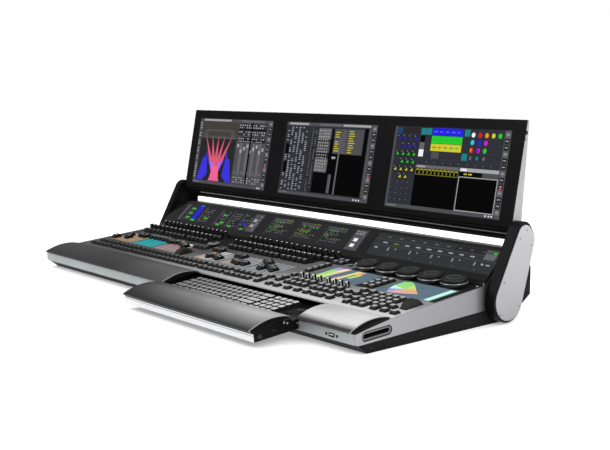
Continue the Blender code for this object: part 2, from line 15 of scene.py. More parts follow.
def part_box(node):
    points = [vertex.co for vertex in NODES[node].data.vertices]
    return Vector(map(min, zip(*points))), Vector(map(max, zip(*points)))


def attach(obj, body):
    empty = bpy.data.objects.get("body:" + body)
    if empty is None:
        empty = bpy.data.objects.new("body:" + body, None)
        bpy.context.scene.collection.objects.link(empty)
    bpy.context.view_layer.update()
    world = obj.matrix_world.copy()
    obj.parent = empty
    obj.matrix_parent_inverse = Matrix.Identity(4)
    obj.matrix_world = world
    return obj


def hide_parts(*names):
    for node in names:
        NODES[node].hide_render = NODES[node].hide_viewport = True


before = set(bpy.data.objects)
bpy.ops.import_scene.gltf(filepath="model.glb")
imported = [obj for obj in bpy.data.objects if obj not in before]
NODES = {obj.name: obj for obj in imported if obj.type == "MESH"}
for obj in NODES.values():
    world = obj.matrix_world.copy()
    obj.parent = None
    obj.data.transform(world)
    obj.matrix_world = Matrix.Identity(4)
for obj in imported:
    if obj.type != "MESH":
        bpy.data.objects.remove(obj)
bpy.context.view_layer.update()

MM = 0.001
HALF_DEPTH = 215.0  # the frame's origin is the middle of the base
HALF_WIDTH = 616.7
DECK_FRONT, DECK_HEIGHT = 64.3, 58.1
SLOPE = math.radians(5.2)
STRETCH = 1 / math.cos(SLOPE)

PITCH = 20.0  # between the columns of faders, knobs and keys
LEFT_GROUPS = (-568.0, -460.5, -353.0)
RIGHT_GROUPS = (-158.0, -51.0, 56.0)
GROUPS = LEFT_GROUPS + RIGHT_GROUPS
EXTRA_COLUMNS = (162.0, 182.0)
MASTER_KEYS = -256.0
FRONT_KEYS = (92.0, 121.0)
BACK_KEYS = (263.0, 308.0)
KNOB_ROWS = (281.0, 331.0)
FADER_NEAR, FADER_FAR = 152.0, 228.0
DIAL = (-216.0, 249.0)
ENCODERS = tuple(309.6 + 63.6 * i for i in range(5))
ENCODER_DEPTH, ENCODER_HOLE = 306.0, 7.5
SCREENS = (305.0, 521.0)
SCREEN_DEPTH = 236.0
STICKS = tuple(234.0 + 20.0 * i + 8.0 * (i // 4) for i in range(8))
STICK_DEPTH = 171.0
WHEELS = {"level_wheel_left": (-224.0, 158.0), "level_wheel_right": (592.0, 146.0)}
WHEEL_RADIUS, WHEEL_DROP = 27.0, 12.0
KEY_PITCH = 19.2
SINGLE_KEYS = {
    90.5: (172.0, 214.0, 242.0, 278.0, 311.0, 341.0, 414.0, 465.5, 545.0, 573.0, 600.0), 108.5: (171.0,),
    115.5: (414.0, 440.0, 465.5), 116.5: (570.0,), 131.0: (171.0,), 143.5: (413.5, 439.5, 465.5),
    169.0: (436.0, 462.5), 171.5: (206.0,),
}
KEY_BLOCKS = (  # x and depth of the first key, columns and rows
    (367.0, 90.5, 2, 1), (491.0, 90.5, 2, 1), (204.5, 126.0, 1, 2), (239.0, 123.0, 4, 1), (239.0, 148.0, 4, 1),
    (326.5, 123.0, 4, 1), (326.5, 148.0, 4, 1), (491.0, 109.0, 4, 4), (202.0, 218.5, 1, 4), (407.5, 200.0, 2, 4),
    (199.0, 305.0, 2, 2), (-254.0, 221.0, 3, 1),
) + tuple((x, depth, 1, 1) for depth, row in SINGLE_KEYS.items() for x in row)
DRAWER = (-13.5, 455.0)
DRAWER_OUT = 110.0
WING_SCREENS = (-405.65, 0.0, 405.65)
WING_SCREEN = (344.2, 193.6, 0.35)  # width, height and thickness
WING_MIDDLE = 106.9
LETTERBOX_SCREEN = (367.7, 67.1, 0.35)
TOUCH_SCREEN = (151.0, 91.0, 1.0)


# ---------------------------------------------------------------- frames


def point(x, depth, height):
    return Vector((x, depth - HALF_DEPTH, height)) * MM


def placed(origin, lean=0.0):
    """A local frame in millimetres whose y and z lean back by an angle about x."""
    return Matrix.Translation(origin) @ Matrix.Rotation(lean, 4, "X") @ Matrix.Scale(MM, 4)


def shift(x, y, z):
    return Matrix.Translation((x, y, z))


def spin(axis, degrees):
    return Matrix.Rotation(math.radians(degrees), 4, axis)


DESK = placed(point(0, 0, 0))
DECK = placed(point(0, DECK_FRONT, DECK_HEIGHT), SLOPE)
LETTERBOX = placed(point(0, 344.0, 91.9), math.radians(41.9))
WING = placed(point(0, 446.0, 197.0), math.radians(-11.2))
SLID = Vector((0, math.cos(SLOPE), math.sin(SLOPE))) * (-DRAWER_OUT * MM)
TRAY = placed(point(0, -31.0, 23.2) + SLID, SLOPE)
DRAWER_DESK = placed(point(0, 0, 0) + SLID)
UPRIGHT = spin("X", 90)  # local x, y, z become x, up and out towards the operator
BACKWARD = spin("Z", 180)
WING_FACE = WING @ shift(0, -17.5, WING_MIDDLE) @ UPRIGHT
LETTERBOX_FACE = LETTERBOX @ shift(0, 51.5, 0)


def deck_y(depth):
    """Distance up the slope from the control surface's front edge."""
    return (depth - DECK_FRONT) * STRETCH


def both_sides(x, inner, outer):
    """The spans from inner to outer on the left and on the right of x."""
    return (x - outer, x - inner), (x + inner, x + outer)


# ---------------------------------------------------------------- materials


def new_material(name):
    made = bpy.data.materials.new(name)
    made.use_nodes = True
    return made, made.node_tree.nodes, made.node_tree.links, made.node_tree.nodes["Principled BSDF"]


def fill(node, values):
    for name, value in values.items():
        node.inputs[name].default_value = value


def noise(nodes, links, scale, stretch=(1, 1, 1), detail=3.0):
    """Noise in the piece's own metres, stretched along any axis."""
    place = nodes.new("ShaderNodeTexCoord")
    mapping = nodes.new("ShaderNodeMapping")
    texture = nodes.new("ShaderNodeTexNoise")
    fill(mapping, {"Scale": stretch})
    fill(texture, {"Scale": scale, "Detail": detail})
    links.new(place.outputs["Object"], mapping.inputs["Vector"])
    links.new(mapping.outputs["Vector"], texture.inputs["Vector"])
    return texture.outputs["Fac"], place.outputs["Object"]


def spread(nodes, links, value, low, high, start=0.3, end=0.7):
    node = nodes.new("ShaderNodeMapRange")
    fill(node, {"From Min": start, "From Max": end, "To Min": low, "To Max": high})
    links.new(value, node.inputs["Value"])
    return node.outputs["Result"]


def mixed(nodes, links, share, first, second, kind="MIX"):
    node = nodes.new("ShaderNodeMix")
    node.data_type = "RGBA"
    node.blend_type = kind
    for socket, value in ((node.inputs[6], first), (node.inputs[7], second)):
        if isinstance(value, tuple):
            socket.default_value = (*value, 1.0)
        else:
            links.new(value, socket)
    if isinstance(share, float):
        node.inputs[0].default_value = share
    else:
        links.new(share, node.inputs[0])
    return node.outputs[2]


def mottled(nodes, links, scale, dark, light):
    """A colour that wanders slowly between a darker and a lighter one."""
    slow, _ = noise(nodes, links, scale, detail=2.0)
    return mixed(nodes, links, spread(nodes, links, slow, 0.0, 1.0), dark, light)


def surface(
    name, colour, rough, metal=0.0, coat=0.0, grain=900.0, bump=0.15, vary=0.12, stretch=(1, 1, 1), ramp=None,
    shade=None, specular=0.5,
):
    """A plain finish: fine grain in its bump and roughness, slow mottling in its colour, and up to two gradients of
    painted light and shade.
    """
    made, nodes, links, shader = new_material(name)
    if isinstance(colour, float):
        colour = (colour,) * 3
    fine, place = noise(nodes, links, grain, stretch)
    dark = tuple(c * (1 - vary) for c in colour)
    light = tuple(min(1.0, c * (1 + vary)) for c in colour)
    base = mottled(nodes, links, 9.0, dark, light)
    # Painted light and shade: each gradient multiplies the colour by a factor that runs along one axis.
    for axis, start, end, low, high in filter(None, (ramp, shade)):
        split = nodes.new("ShaderNodeSeparateXYZ")
        links.new(place, split.inputs[0])
        along = spread(nodes, links, split.outputs[axis], 0.0, 1.0, start, end)
        light_and_shade = mixed(nodes, links, along, (low,) * 3, (high,) * 3)
        base = mixed(nodes, links, 1.0, base, light_and_shade, "MULTIPLY")
    links.new(base, shader.inputs["Base Color"])
    links.new(spread(nodes, links, fine, rough * 0.85, min(1.0, rough * 1.2)), shader.inputs["Roughness"])
    fill(shader, {"Metallic": metal, "Coat Weight": coat, "Coat Roughness": 0.08, "Specular IOR Level": specular})
    relief = nodes.new("ShaderNodeBump")
    fill(relief, {"Strength": bump, "Distance": 0.02 * MM})
    links.new(fine, relief.inputs["Height"])
    links.new(relief.outputs["Normal"], shader.inputs["Normal"])
    return made


def lit(name, colour, strength=1.0, rough=0.25, vary=0.06):
    """A lit display or diffuser colour behind glass, slightly uneven as a real backlight is."""
    made, nodes, links, shader = new_material(name)
    dark = tuple(c * (1 - vary) for c in colour)
    links.new(mottled(nodes, links, 30.0, dark, colour), shader.inputs["Emission Color"])
    body = (*(c * 0.05 for c in colour), 1.0)
    fill(shader, {"Emission Strength": strength, "Base Color": body, "Roughness": rough, "Specular IOR Level": 0.05})
    return made


def look(*values, **more):
    return values, more


# Painted light and shade, given as gradients: each gives its axis, the two places in metres between which it runs, and
# the factors at its ends.
SURFACES = {
    "black_sheet": look(0.006, 0.45, bump=0.25, grain=1400.0, specular=0.07),
    "black_satin": look(0.005, 0.36, bump=0.12, grain=1400.0, specular=0.05),
    "wing_black": look(0.005, 0.30, bump=0.05, grain=1400.0, specular=0.06),
    # Painted light on the side panels: brighter at the front, then painted shade that darkens them to near black just
    # before the shoulder.
    "silver_panel": look(
        (0.275, 0.27, 0.28), 0.5, 0.25, bump=0.1, vary=0.04, ramp=(1, -0.2, 0.2, 1.15, 0.8),
        shade=(1, 0.095, 0.128, 1.0, 0.05),
    ),
    # Painted light on the shoulder covers: darker towards the bottom, brighter towards the top.
    "cover_silver": look((0.40, 0.40, 0.41), 0.45, 0.25, bump=0.08, vary=0.03, ramp=(2, 0.0, 0.22, 0.75, 1.15)),
    "wing_silver": look((0.38, 0.38, 0.39), 0.42, 0.25, bump=0.1, vary=0.04),
    "rail_silver": look((0.30, 0.325, 0.325), 0.36, 0.3, bump=0.2, vary=0.06, stretch=(0.02, 1, 1), grain=2500.0),
    "trim_silver": look((0.66, 0.67, 0.68), 0.36, 0.3, bump=0.2, vary=0.03, stretch=(0.02, 1, 1), grain=2500.0),
    # The three rests are one finish painted with light and shade: dark on the left, brightening across the drawer to
    # the right, with painted shade on their rounded front noses.
    "rest_dark": look(
        0.060, 0.46, 0.1, bump=0.3, grain=2200.0, specular=0.3, ramp=(0, -0.25, -0.02, 0.65, 1.9),
        shade=(1, -0.256, -0.20, 0.45, 1.0),
    ),
    "rest_drawer": look(
        0.30, 0.42, 0.1, bump=0.25, grain=2200.0, specular=0.3, ramp=(0, 0.0, 0.40, 0.12, 1.3),
        shade=(1, -0.364, -0.305, 0.03, 1.0),
    ),
    "rest_silver": look(0.52, 0.42, 0.15, bump=0.25, grain=2200.0, ramp=(1, -0.251, -0.236, 0.03, 1.1)),
    # Painted highlight: a grey band along the rests' rounded right ends.
    "rest_edge": look((0.35, 0.35, 0.36), 0.35, 0.4, bump=0.1),
    # Painted glare on the control plate: brighter towards the right and at its front edge, fading towards the back and
    # the left.
    "deck_grey": look(
        0.30, 0.42, 0.2, bump=0.2, grain=1800.0, vary=0.06, ramp=(0, -0.40, 0.42, 0.16, 1.35),
        shade=(1, -0.15, -0.01, 1.70, 0.55),
    ),
    "mat_black": look(0.010, 0.55, bump=0.3, grain=1500.0, specular=0.2),
    "key_side": look(0.006, 0.42, bump=0.2, grain=1700.0, specular=0.25),
    # Painted highlight: the keys are black; their tops are painted lighter, brighter towards the right.
    "key_top": look(0.34, 0.38, 0.1, bump=0.2, grain=1700.0, ramp=(0, -0.30, 0.40, 0.16, 1.2)),
    # Painted highlight on the tops of the black back keys and the dial, brighter towards the right.
    "back_top": look(0.20, 0.38, 0.1, bump=0.2, grain=1700.0, ramp=(0, -0.40, 0.10, 0.6, 1.2)),
    # Painted highlight along the crests of the black fader caps.
    "cap_top": look(0.16, 0.38, 0.1, bump=0.2, grain=1700.0),
    # Painted light: the keyboard's caps have tops lighter than their black sides, brighter towards the right.
    "board_top": look(0.42, 0.38, 0.1, bump=0.2, grain=1700.0, ramp=(0, 0.0, 0.35, 0.45, 1.25)),
    "knob_side": look(0.010, 0.45, bump=0.25, grain=1700.0, specular=0.2),
    "rubber": look(0.014, 0.6, bump=0.5, grain=1300.0, specular=0.3),
    "gloss": look(0.005, 0.16, coat=0.2, bump=0.02, grain=400.0, specular=0.3),
    "disc": look(0.018, 0.30, bump=0.0, grain=4.0, vary=0.03, specular=0.25),
    "plateau": look(0.028, 0.34, bump=0.0, grain=4.0, vary=0.03, specular=0.25),
    "ring_line": look(0.085, 0.30, bump=0.0, grain=4.0, vary=0.03, specular=0.4),
    "glass": look((0.004, 0.004, 0.0045), 0.16, bump=0.01, grain=60.0, vary=0.1, specular=0.2),
    "steel": look((0.5, 0.5, 0.52), 0.3, 0.8, bump=0.15, stretch=(0.05, 1, 1)),
    "case": look((0.35, 0.36, 0.37), 0.45, 0.6, bump=0.3, grain=300.0),
    "screw": look(0.03, 0.35, 0.6, bump=0.1),
    "bright": look((0.8, 0.8, 0.81), 0.25, 0.7, bump=0.08),
    # Painted highlight: a grey metal band round the encoders' finger rings.
    "rim": look(0.30, 0.25, 0.6, bump=0.08),
    # Painted shade: near-black tiles stand in for the dark inside of openings, slots, sockets, grooves and recesses.
    "hole": look(0.003, 0.8, bump=0.3, specular=0.1),
    "cable": look((0.16, 0.16, 0.165), 0.4, 0.3, bump=0.2),
    "port_blue": look((0.02, 0.05, 0.16), 0.4, bump=0.1),
}
LAMPS = {"bar": look((1.0, 1.0, 1.0), 1.8, 0.5, 0.02), "dot": look((1.0, 1.0, 0.98), 1.1, 0.4)}
PICTURE = {
    "ui_slate": (0.028, 0.028, 0.038), "ui_steel": (0.029, 0.031, 0.034), "ui_dark": (0.020, 0.020, 0.023),
    "ui_black": (0.0008, 0.0008, 0.001), "ui_grey": (0.075, 0.075, 0.082), "ui_mid": (0.13, 0.13, 0.14),
    "ui_light": (0.36, 0.36, 0.38), "ui_white": (0.85, 0.86, 0.88), "ui_brown": (0.055, 0.050, 0.042),
    "ui_yellow": (0.62, 0.55, 0.03), "ui_olive": (0.20, 0.20, 0.02), "ui_green": (0.01, 0.62, 0.02),
    "ui_leaf": (0.06, 0.36, 0.05), "ui_blue": (0.015, 0.015, 0.72), "ui_teal": (0.01, 0.22, 0.24),
    "ui_navy": (0.01, 0.06, 0.16), "ui_red": (0.75, 0.01, 0.01), "ui_orange": (0.85, 0.30, 0.01),
    "ui_cyan": (0.02, 0.60, 0.70), "ui_magenta": (0.60, 0.01, 0.65), "ui_violet_line": (0.12, 0.10, 0.85),
    "beam_rose": (0.66, 0.10, 0.17), "beam_pink": (0.85, 0.12, 0.28), "beam_violet": (0.42, 0.13, 0.78),
    "beam_blue": (0.04, 0.035, 0.70), "touch_blue": (0.115, 0.175, 0.225), "touch_green": (0.32, 0.72, 0.22),
    "touch_lime": (0.55, 0.76, 0.20), "touch_yellow": (0.75, 0.70, 0.28), "touch_pink": (0.80, 0.42, 0.36),
    "touch_orange": (0.85, 0.42, 0.20), "touch_mint": (0.55, 0.95, 0.80), "touch_violet": (0.36, 0.36, 0.66),
    "slot_tan": (0.60, 0.40, 0.25), "slot_teal": (0.03, 0.42, 0.46), "slot_rose": (0.56, 0.38, 0.40),
    "slot_white": (0.95, 0.90, 0.86), "slot_peach": (0.85, 0.58, 0.42), "slot_grey": (0.54, 0.56, 0.60),
    "slot_steel": (0.44, 0.48, 0.54),
}
LIT = {**LAMPS, **{name: look(colour) for name, colour in PICTURE.items()}}
MADE = {}


def finish(name):
    """The named material, made on first use."""
    if name not in MADE:
        kind, table = (lit, LIT) if name in LIT else (surface, SURFACES)
        values, more = table[name]
        MADE[name] = kind("look_" + name, *values, **more)
    return MADE[name]


# ---------------------------------------------------------------- solids


class Solid:
    """Closed shells held as lists of places and faces, each face with the name of its finish."""

    def __init__(self):
        self.places, self.faces, self.looks = [], [], []

    def add(self, other, matrix=None):
        first = len(self.places)
        self.places += [matrix @ place for place in other.places] if matrix else list(other.places)
        self.faces += [tuple(first + i for i in face) for face in other.faces]
        self.looks += other.looks
        return self

    def moved(self, x, y, z):
        return Solid().add(self, Matrix.Translation((x, y, z)))

    def piece(self, name, body, place, slot, replaces=(), sharp=35):
        mesh = bpy.data.meshes.new(name)
        mesh.from_pydata([place @ p for p in self.places], [], self.faces)
        looks = list(dict.fromkeys(self.looks))
        for look in looks:
            mesh.materials.append(finish(look))
        mesh.polygons.foreach_set("material_index", [looks.index(look) for look in self.looks])
        mesh.shade_smooth()
        mesh.set_sharp_from_angle(angle=math.radians(sharp))
        mesh.validate()
        obj = bpy.data.objects.new(name, mesh)
        bpy.context.scene.collection.objects.link(obj)
        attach(obj, body)
        if replaces:
            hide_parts(*replaces)
        return obj


def loft(loops, looks, closed=True):
    """Loops of equally many points joined in turn and capped. looks is one finish, or one for each band and cap."""
    made = Solid()
    count = len(loops[0])
    for loop in loops:
        made.places += [Vector(place) for place in loop]
    bands = len(loops) - 1
    names = [looks] * (bands + 2) if isinstance(looks, str) else looks
    for band in range(bands):
        for i in range(count):
            a, b = band * count + i, band * count + (i + 1) % count
            made.faces.append((a, b, b + count, a + count))
            made.looks.append(names[band + 1])
    if closed:
        made.faces.append(tuple(range(count))[::-1])
        made.looks.append(names[0])
        made.faces.append(tuple(range(bands * count, (bands + 1) * count)))
        made.looks.append(names[-1])
    return made


def rounded_loop(half_x, half_y, radius, z, steps=3):
    """A rectangle with rounded corners, anticlockwise from above."""
    radius = min(radius, half_x, half_y)
    loop = []
    for corner in range(4):
        turn = math.pi / 2 * corner
        centre_x = (half_x - radius) * (1 if corner in (0, 3) else -1)
        centre_y = (half_y - radius) * (1 if corner in (0, 1) else -1)
        for i in range(steps):
            angle = turn + math.pi / 2 * i / (steps - 1)
            loop.append((centre_x + radius * math.cos(angle), centre_y + radius * math.sin(angle), z))
    return loop


def slab(x0, x1, y0, y1, z0, z1, look, edge=0.4, corner=None, top=None):
    """A box with rounded upright corners and a softened top edge."""
    half_x, half_y = (x1 - x0) / 2, (y1 - y0) / 2
    corner = edge if corner is None else corner
    loops = [
        rounded_loop(half_x, half_y, corner, z0),
        rounded_loop(half_x, half_y, corner, z1 - edge),
        rounded_loop(half_x - edge * 0.3, half_y - edge * 0.3, corner, z1 - edge * 0.3),
        rounded_loop(half_x - edge, half_y - edge, corner, z1),
    ]
    return loft(loops, [look] * 4 + [top or look]).moved((x0 + x1) / 2, (y0 + y1) / 2, 0)


def plain(x0, x1, y0, y1, z0, z1, look):
    """A thin flat tile with sharp edges."""
    loops = [[(x0, y0, z), (x1, y0, z), (x1, y1, z), (x0, y1, z)] for z in (z0, z1)]
    return loft(loops, look)


def ring_loop(radius, z, steps, wave=0.0):
    """A circle, in which every other point may lie further in by wave to make ribs."""
    loop = []
    for i in range(steps):
        angle = 2 * math.pi * i / steps
        r = radius - (wave if i % 2 else 0.0)
        loop.append((r * math.cos(angle), r * math.sin(angle), z))
    return loop


def turned(profile, steps, looks):
    """A profile of (radius, height) turned round z, from the bottom up; both ends are capped."""
    return loft([ring_loop(max(r, 0.05), z, steps) for r, z in profile], looks)


def extruded(outline, x0, x1, look):
    """An outline of (y, z), clockwise seen from +x, drawn along x."""
    return loft([[(x, y, z) for y, z in outline] for x in (x0, x1)], look)


def closed_tube(path, radius, look, steps):
    """A round bar along a closed path of points."""
    points = [Vector(p) for p in path]
    angles = [2 * math.pi * k / steps for k in range(steps)]
    loops = []
    for i, place in enumerate(points):
        along = (points[(i + 1) % len(points)] - points[i - 1]).normalized()
        side = along.orthogonal().normalized() if abs(along.x) > 0.9 else along.cross(Vector((1, 0, 0))).normalized()
        other = along.cross(side)
        loops.append([place + (side * math.cos(a) + other * math.sin(a)) * radius for a in angles])
    return loft([*loops, loops[0]], look, False)


def screw_head(radius, look="screw"):
    """A countersunk screw with a round socket, facing +z."""
    profile = [(1, -0.6), (1, 0.25), (0.86, 0.45), (0.5, 0.45), (0.45, -0.3)]
    return turned([(radius * share, z) for share, z in profile], 12, [look] * 4 + ["hole"] * 2)


# ---------------------------------------------------------------- controls


def key_cap(width, length, height, slope, top="key_top", low=-3.0):
    """A keycap with sloping sides and a dished top."""
    half_x, half_y = width / 2, length / 2
    sizes = (
        (0.0, low, 1.2), (0.0, height * 0.3, 1.2), (slope * 0.85, height - 0.8, 1.6), (slope, height - 0.25, 1.8),
        (slope + 0.35, height, 1.8), (slope + 1.2, height - 0.2, 1.5), (slope + 2.8, height - 0.45, 0.8),
    )
    loops = [rounded_loop(half_x - inset, half_y - inset, radius, z) for inset, z, radius in sizes]
    # The sides are black; the top's finish paints the light that falls on the cap's top.
    return loft(loops, ["key_side"] * 4 + [top] * 4)


def column_positions(groups):
    return [start + PITCH * i for start in groups for i in range(5)]


PLAYBACKS = column_positions(GROUPS)


def add_areas(solid, areas, low, high, edge, corner):
    """Flat black sheets on the control surface, each from x to x and from depth to depth."""
    for x0, x1, near, far in areas:
        solid.add(slab(x0, x1, deck_y(near), deck_y(far), low, high, "mat_black", edge, corner))


def make_surface_keys():
    """Every key of the control surface, on the sheet that joins them."""
    keys = Solid()
    front = key_cap(15.8, 16.4, 6.8, 2.9)
    back = key_cap(15.4, 13.4, 11.4, 2.2, "back_top")
    command = key_cap(16.8, 16.8, 7.0, 3.1)
    front_columns = column_positions(LEFT_GROUPS + (MASTER_KEYS,) + RIGHT_GROUPS)
    near, far = BACK_KEYS
    rows = [(front, depth, front_columns) for depth in FRONT_KEYS]
    rows += [(back, near, PLAYBACKS), (back, far, PLAYBACKS + list(EXTRA_COLUMNS))]
    for x, depth, columns, count in KEY_BLOCKS:
        places = [x + KEY_PITCH * i for i in range(columns)]
        rows += [(command, depth + KEY_PITCH * row, places) for row in range(count)]
    stick = Solid()
    stick.add(slab(-3.4, 3.4, -4.4, 4.4, -3.0, 13.0, "gloss", 0.9, 1.6))
    stick.add(slab(-2.2, 2.2, -4.7, 0.2, 11.6, 13.5, "slot_white", 0.5, 1.0))
    # The grey strip down the stick's front right corner is a painted highlight.
    stick.add(slab(2.6, 3.7, -4.2, -3.2, 2.0, 12.0, "slot_grey", 0.2))
    rows.append((stick, STICK_DEPTH, STICKS))
    for cap, depth, places in rows:
        for x in places:
            keys.add(cap.moved(x, deck_y(depth), 0))
    sheets = (
        (-590, 576, 66.5, 130), (576, 610, 66.5, 112), (160, 566, 130, 180), (190, 440, 180, 286),
        (-590, 270, 236, 334),
    )
    add_areas(keys, sheets, -4.6, -3.4, 0.4, None)
    keys.piece("surface_keys", "panel_keys", DECK, "key_black", ["panel_keys"])


def knob():
    """A ribbed knob with a lit square in its top."""
    levels = (
        (6.9, 0.3), (6.9, 1.6), (5.9, 2.2), (5.8, 3.4, 0.45), (5.4, 17.6, 0.45), (5.1, 19.2), (4.4, 20.2), (3.4, 20.2),
    )
    made = loft([ring_loop(r, z, 24, *wave) for r, z, *wave in levels], "knob_side")
    return made.add(slab(-1.55, 1.55, -1.55, 1.55, 19.6, 20.7, "dot", 0.3, 0.8))


def make_knobs():
    """The small knobs, the master dial, the strips that join them and the dark fields that they stand in."""
    knobs = Solid()
    one = knob()
    near, far = KNOB_ROWS
    dial_x, dial_depth = DIAL
    for depth, columns in ((near, PLAYBACKS), (far, PLAYBACKS + list(EXTRA_COLUMNS))):
        for x in columns:
            knobs.add(one.moved(x, deck_y(depth), 0))
    strips = [(start - 8, start + 88, near - 3, near + 5) for start in GROUPS]
    strips.append((LEFT_GROUPS[0] - 8, EXTRA_COLUMNS[1] + 8, far - 5, far + 5))
    add_areas(knobs, strips, 0.1, 0.9, 0.3, 2.0)
    add_areas(knobs, [(dial_x - 6, dial_x + 6, dial_depth, far)], 0.1, 0.8, 0.3, 2.0)
    profile = [
        (13.5, 0.3), (13.5, 6.0), (14.0, 7.0), (16.6, 8.2), (17.0, 9.6), (16.4, 11.0), (14.0, 12.4), (9.0, 13.2),
        (8.4, 12.6), (3.0, 12.4),
    ]
    # The dial's top band is a painted highlight.
    looks = ["knob_side"] * 5 + ["back_top"] * 3 + ["knob_side"] * 3
    knobs.add(turned(profile, 40, looks).moved(dial_x, deck_y(dial_depth), 0))
    starts = GROUPS + EXTRA_COLUMNS[:1]
    fields = [(-606, 150, 270.5, 300.5), (-606, 240, 315.5, 338.5), (dial_x - 40, dial_x + 44, 300.5, 315.5)]
    fields += [(a + 88.5, b - 8.5, 300.5, 315.5) for a, b in zip(starts, starts[1:]) if b - a < 120]
    add_areas(knobs, fields, 0.02, 0.3, 0.1, 1.0)
    knobs.piece("knob_rows", "desk", DECK, "key_black", ["knob_bank"])


def make_faders():
    """A wide dished cap on a stem, one piece for each fader, standing where its CAD node stands."""
    half, foot = 8.3, 2.0
    rise = [(11.8, 3.2), (10.6, 6.2), (8.4, 9.4), (6.4, 11.6), (5.0, 12.2), (3.4, 11.4), (1.6, 10.6)]
    outline = [(-11.6, foot), (11.6, foot), *rise, (0, 10.3), *((-y, z) for y, z in rise[::-1])]
    ends = ((-half, 0.93), (-half + 0.7, 1.0), (half - 0.7, 1.0), (half, 0.93))
    cap = loft([[(x, y * share, foot + (z - foot) * share) for y, z in outline] for x, share in ends], "key_side")
    cap.add(slab(-half + 0.9, half - 0.9, -0.5, 0.5, 9.6, 10.75, "slot_white", 0.1))
    # Two grey strips along the cap's crests are painted highlights.
    for near, far in ((4.0, 6.2), (-6.2, -4.0)):
        cap.add(slab(-half + 0.6, half - 0.6, near, far, 11.2, 12.35, "cap_top", 0.3))
    cap.add(slab(-0.9, 0.9, -4, 4, -6.5, 3.0, "steel", 0.2))
    for i in range(30):
        node = f"fader_{i + 1:02d}"
        middle = sum(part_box(node), Vector()) / 2 / MM
        share = (middle.y + HALF_DEPTH - DECK_FRONT) / math.cos(SLOPE)
        cap.moved(middle.x, share, 0).piece(f"fader_cap_{i + 1:02d}", node, DECK, "key_black", [node])


def make_encoders():
    """A large flat glossy disc with an inner ring, over a wider finger ring."""
    profile = [
        (6.0, -6.0), (6.0, 1.2), (24.5, 1.2), (27.0, 3.0), (29.6, 6.0), (30.5, 8.6), (30.4, 10.4), (29.6, 11.6),
        (28.0, 12.0), (25.0, 12.2), (24.6, 13.4), (26.6, 14.0), (27.4, 15.2), (27.4, 18.4), (27.0, 19.4), (26.0, 20.0),
        (17.0, 20.0), (16.4, 19.4), (15.4, 19.4), (14.8, 19.9), (12.0, 19.7), (6.0, 19.5),
    ]
    # The band round the finger ring's outer edge is a painted highlight.
    looks = ["gloss"] * 4 + ["disc"] * 3 + ["rim"] + ["disc"] * 9 + ["ring_line"] * 3 + ["plateau"] * 3
    dial = turned(profile, 64, looks)
    for i, x in enumerate(ENCODERS, 1):
        node = f"encoder_{i}"
        dial.moved(x, deck_y(ENCODER_DEPTH), 0).piece(f"encoder_dial_{i}", node, DECK, "encoder_black", [node], 50)


def make_wheels():
    """A ribbed roller seen as a dome through the surface."""
    steps = 72
    edge = ((10.0, 0.86, 0), (9.8, 0.93, 0), (8.6, 0.985, 0), (7.0, 1.0, 0), (6.2, 0.965, 1))
    stations = [(-along, share, ribbed) for along, share, ribbed in edge] + list(edge[::-1])
    loops = []
    for along, share, ribbed in stations:
        loops.append([])
        for i in range(steps):
            angle = 2 * math.pi * i / steps
            radius = WHEEL_RADIUS * share * (1.0 if not ribbed or i % 3 else 1.03)
            loops[-1].append((along, radius * math.cos(angle), radius * math.sin(angle)))
    roller = loft(loops, "rubber")
    hub = turned([(16.0, 0.0), (16.0, 0.5), (14.5, 0.9), (5.0, 0.9), (4.5, 0.5), (2.0, 0.5)], 32, "gloss")
    for side in (-1, 1):
        roller.add(hub, shift(side * 9.4, 0, 0) @ spin("Y", side * 90))
    for name, (x, depth) in WHEELS.items():
        roller.moved(x, deck_y(depth), -WHEEL_DROP).piece(name + "_roller", name, DECK, "key_black", [name])


def make_fader_lights():
    """The lit strips on both sides of each fader slot, and a short white pair on the master keys' columns."""
    lights = Solid()
    peach, white, grey, steel = "slot_peach", "slot_white", "slot_grey", "slot_steel"
    widths = (5.0, 7.0, 4.6, 4.2, 3.8, 3.6)
    colours = (
        ["slot_tan"] * 5, ["slot_teal"] * 5, ["slot_rose"] * 5, (peach, white, white, grey, grey),
        [peach] + [grey] * 4, [steel] * 5,
    )
    strips = []
    for start, width, looks in zip(GROUPS, widths, colours):
        for i, look in enumerate(looks):
            spans = both_sides(start + PITCH * i, 2.3, 2.3 + width)
            strips += [(*span, FADER_NEAR - 1.0, FADER_FAR + 1.0, -0.4, 0.35, look) for span in spans]
    for x in (-333.0, -313.0, -293.0):
        strips += [(*span, 217, 231, -0.3, 0.55, "dot") for span in both_sides(x, 2.3, 8.0)]
    for x0, x1, near, far, low, high, look in strips:
        lights.add(slab(x0, x1, deck_y(near), deck_y(far), low, high, look, 0.15, 0.8))
    lights.piece("fader_lights", "desk", DECK, "panel_grey")


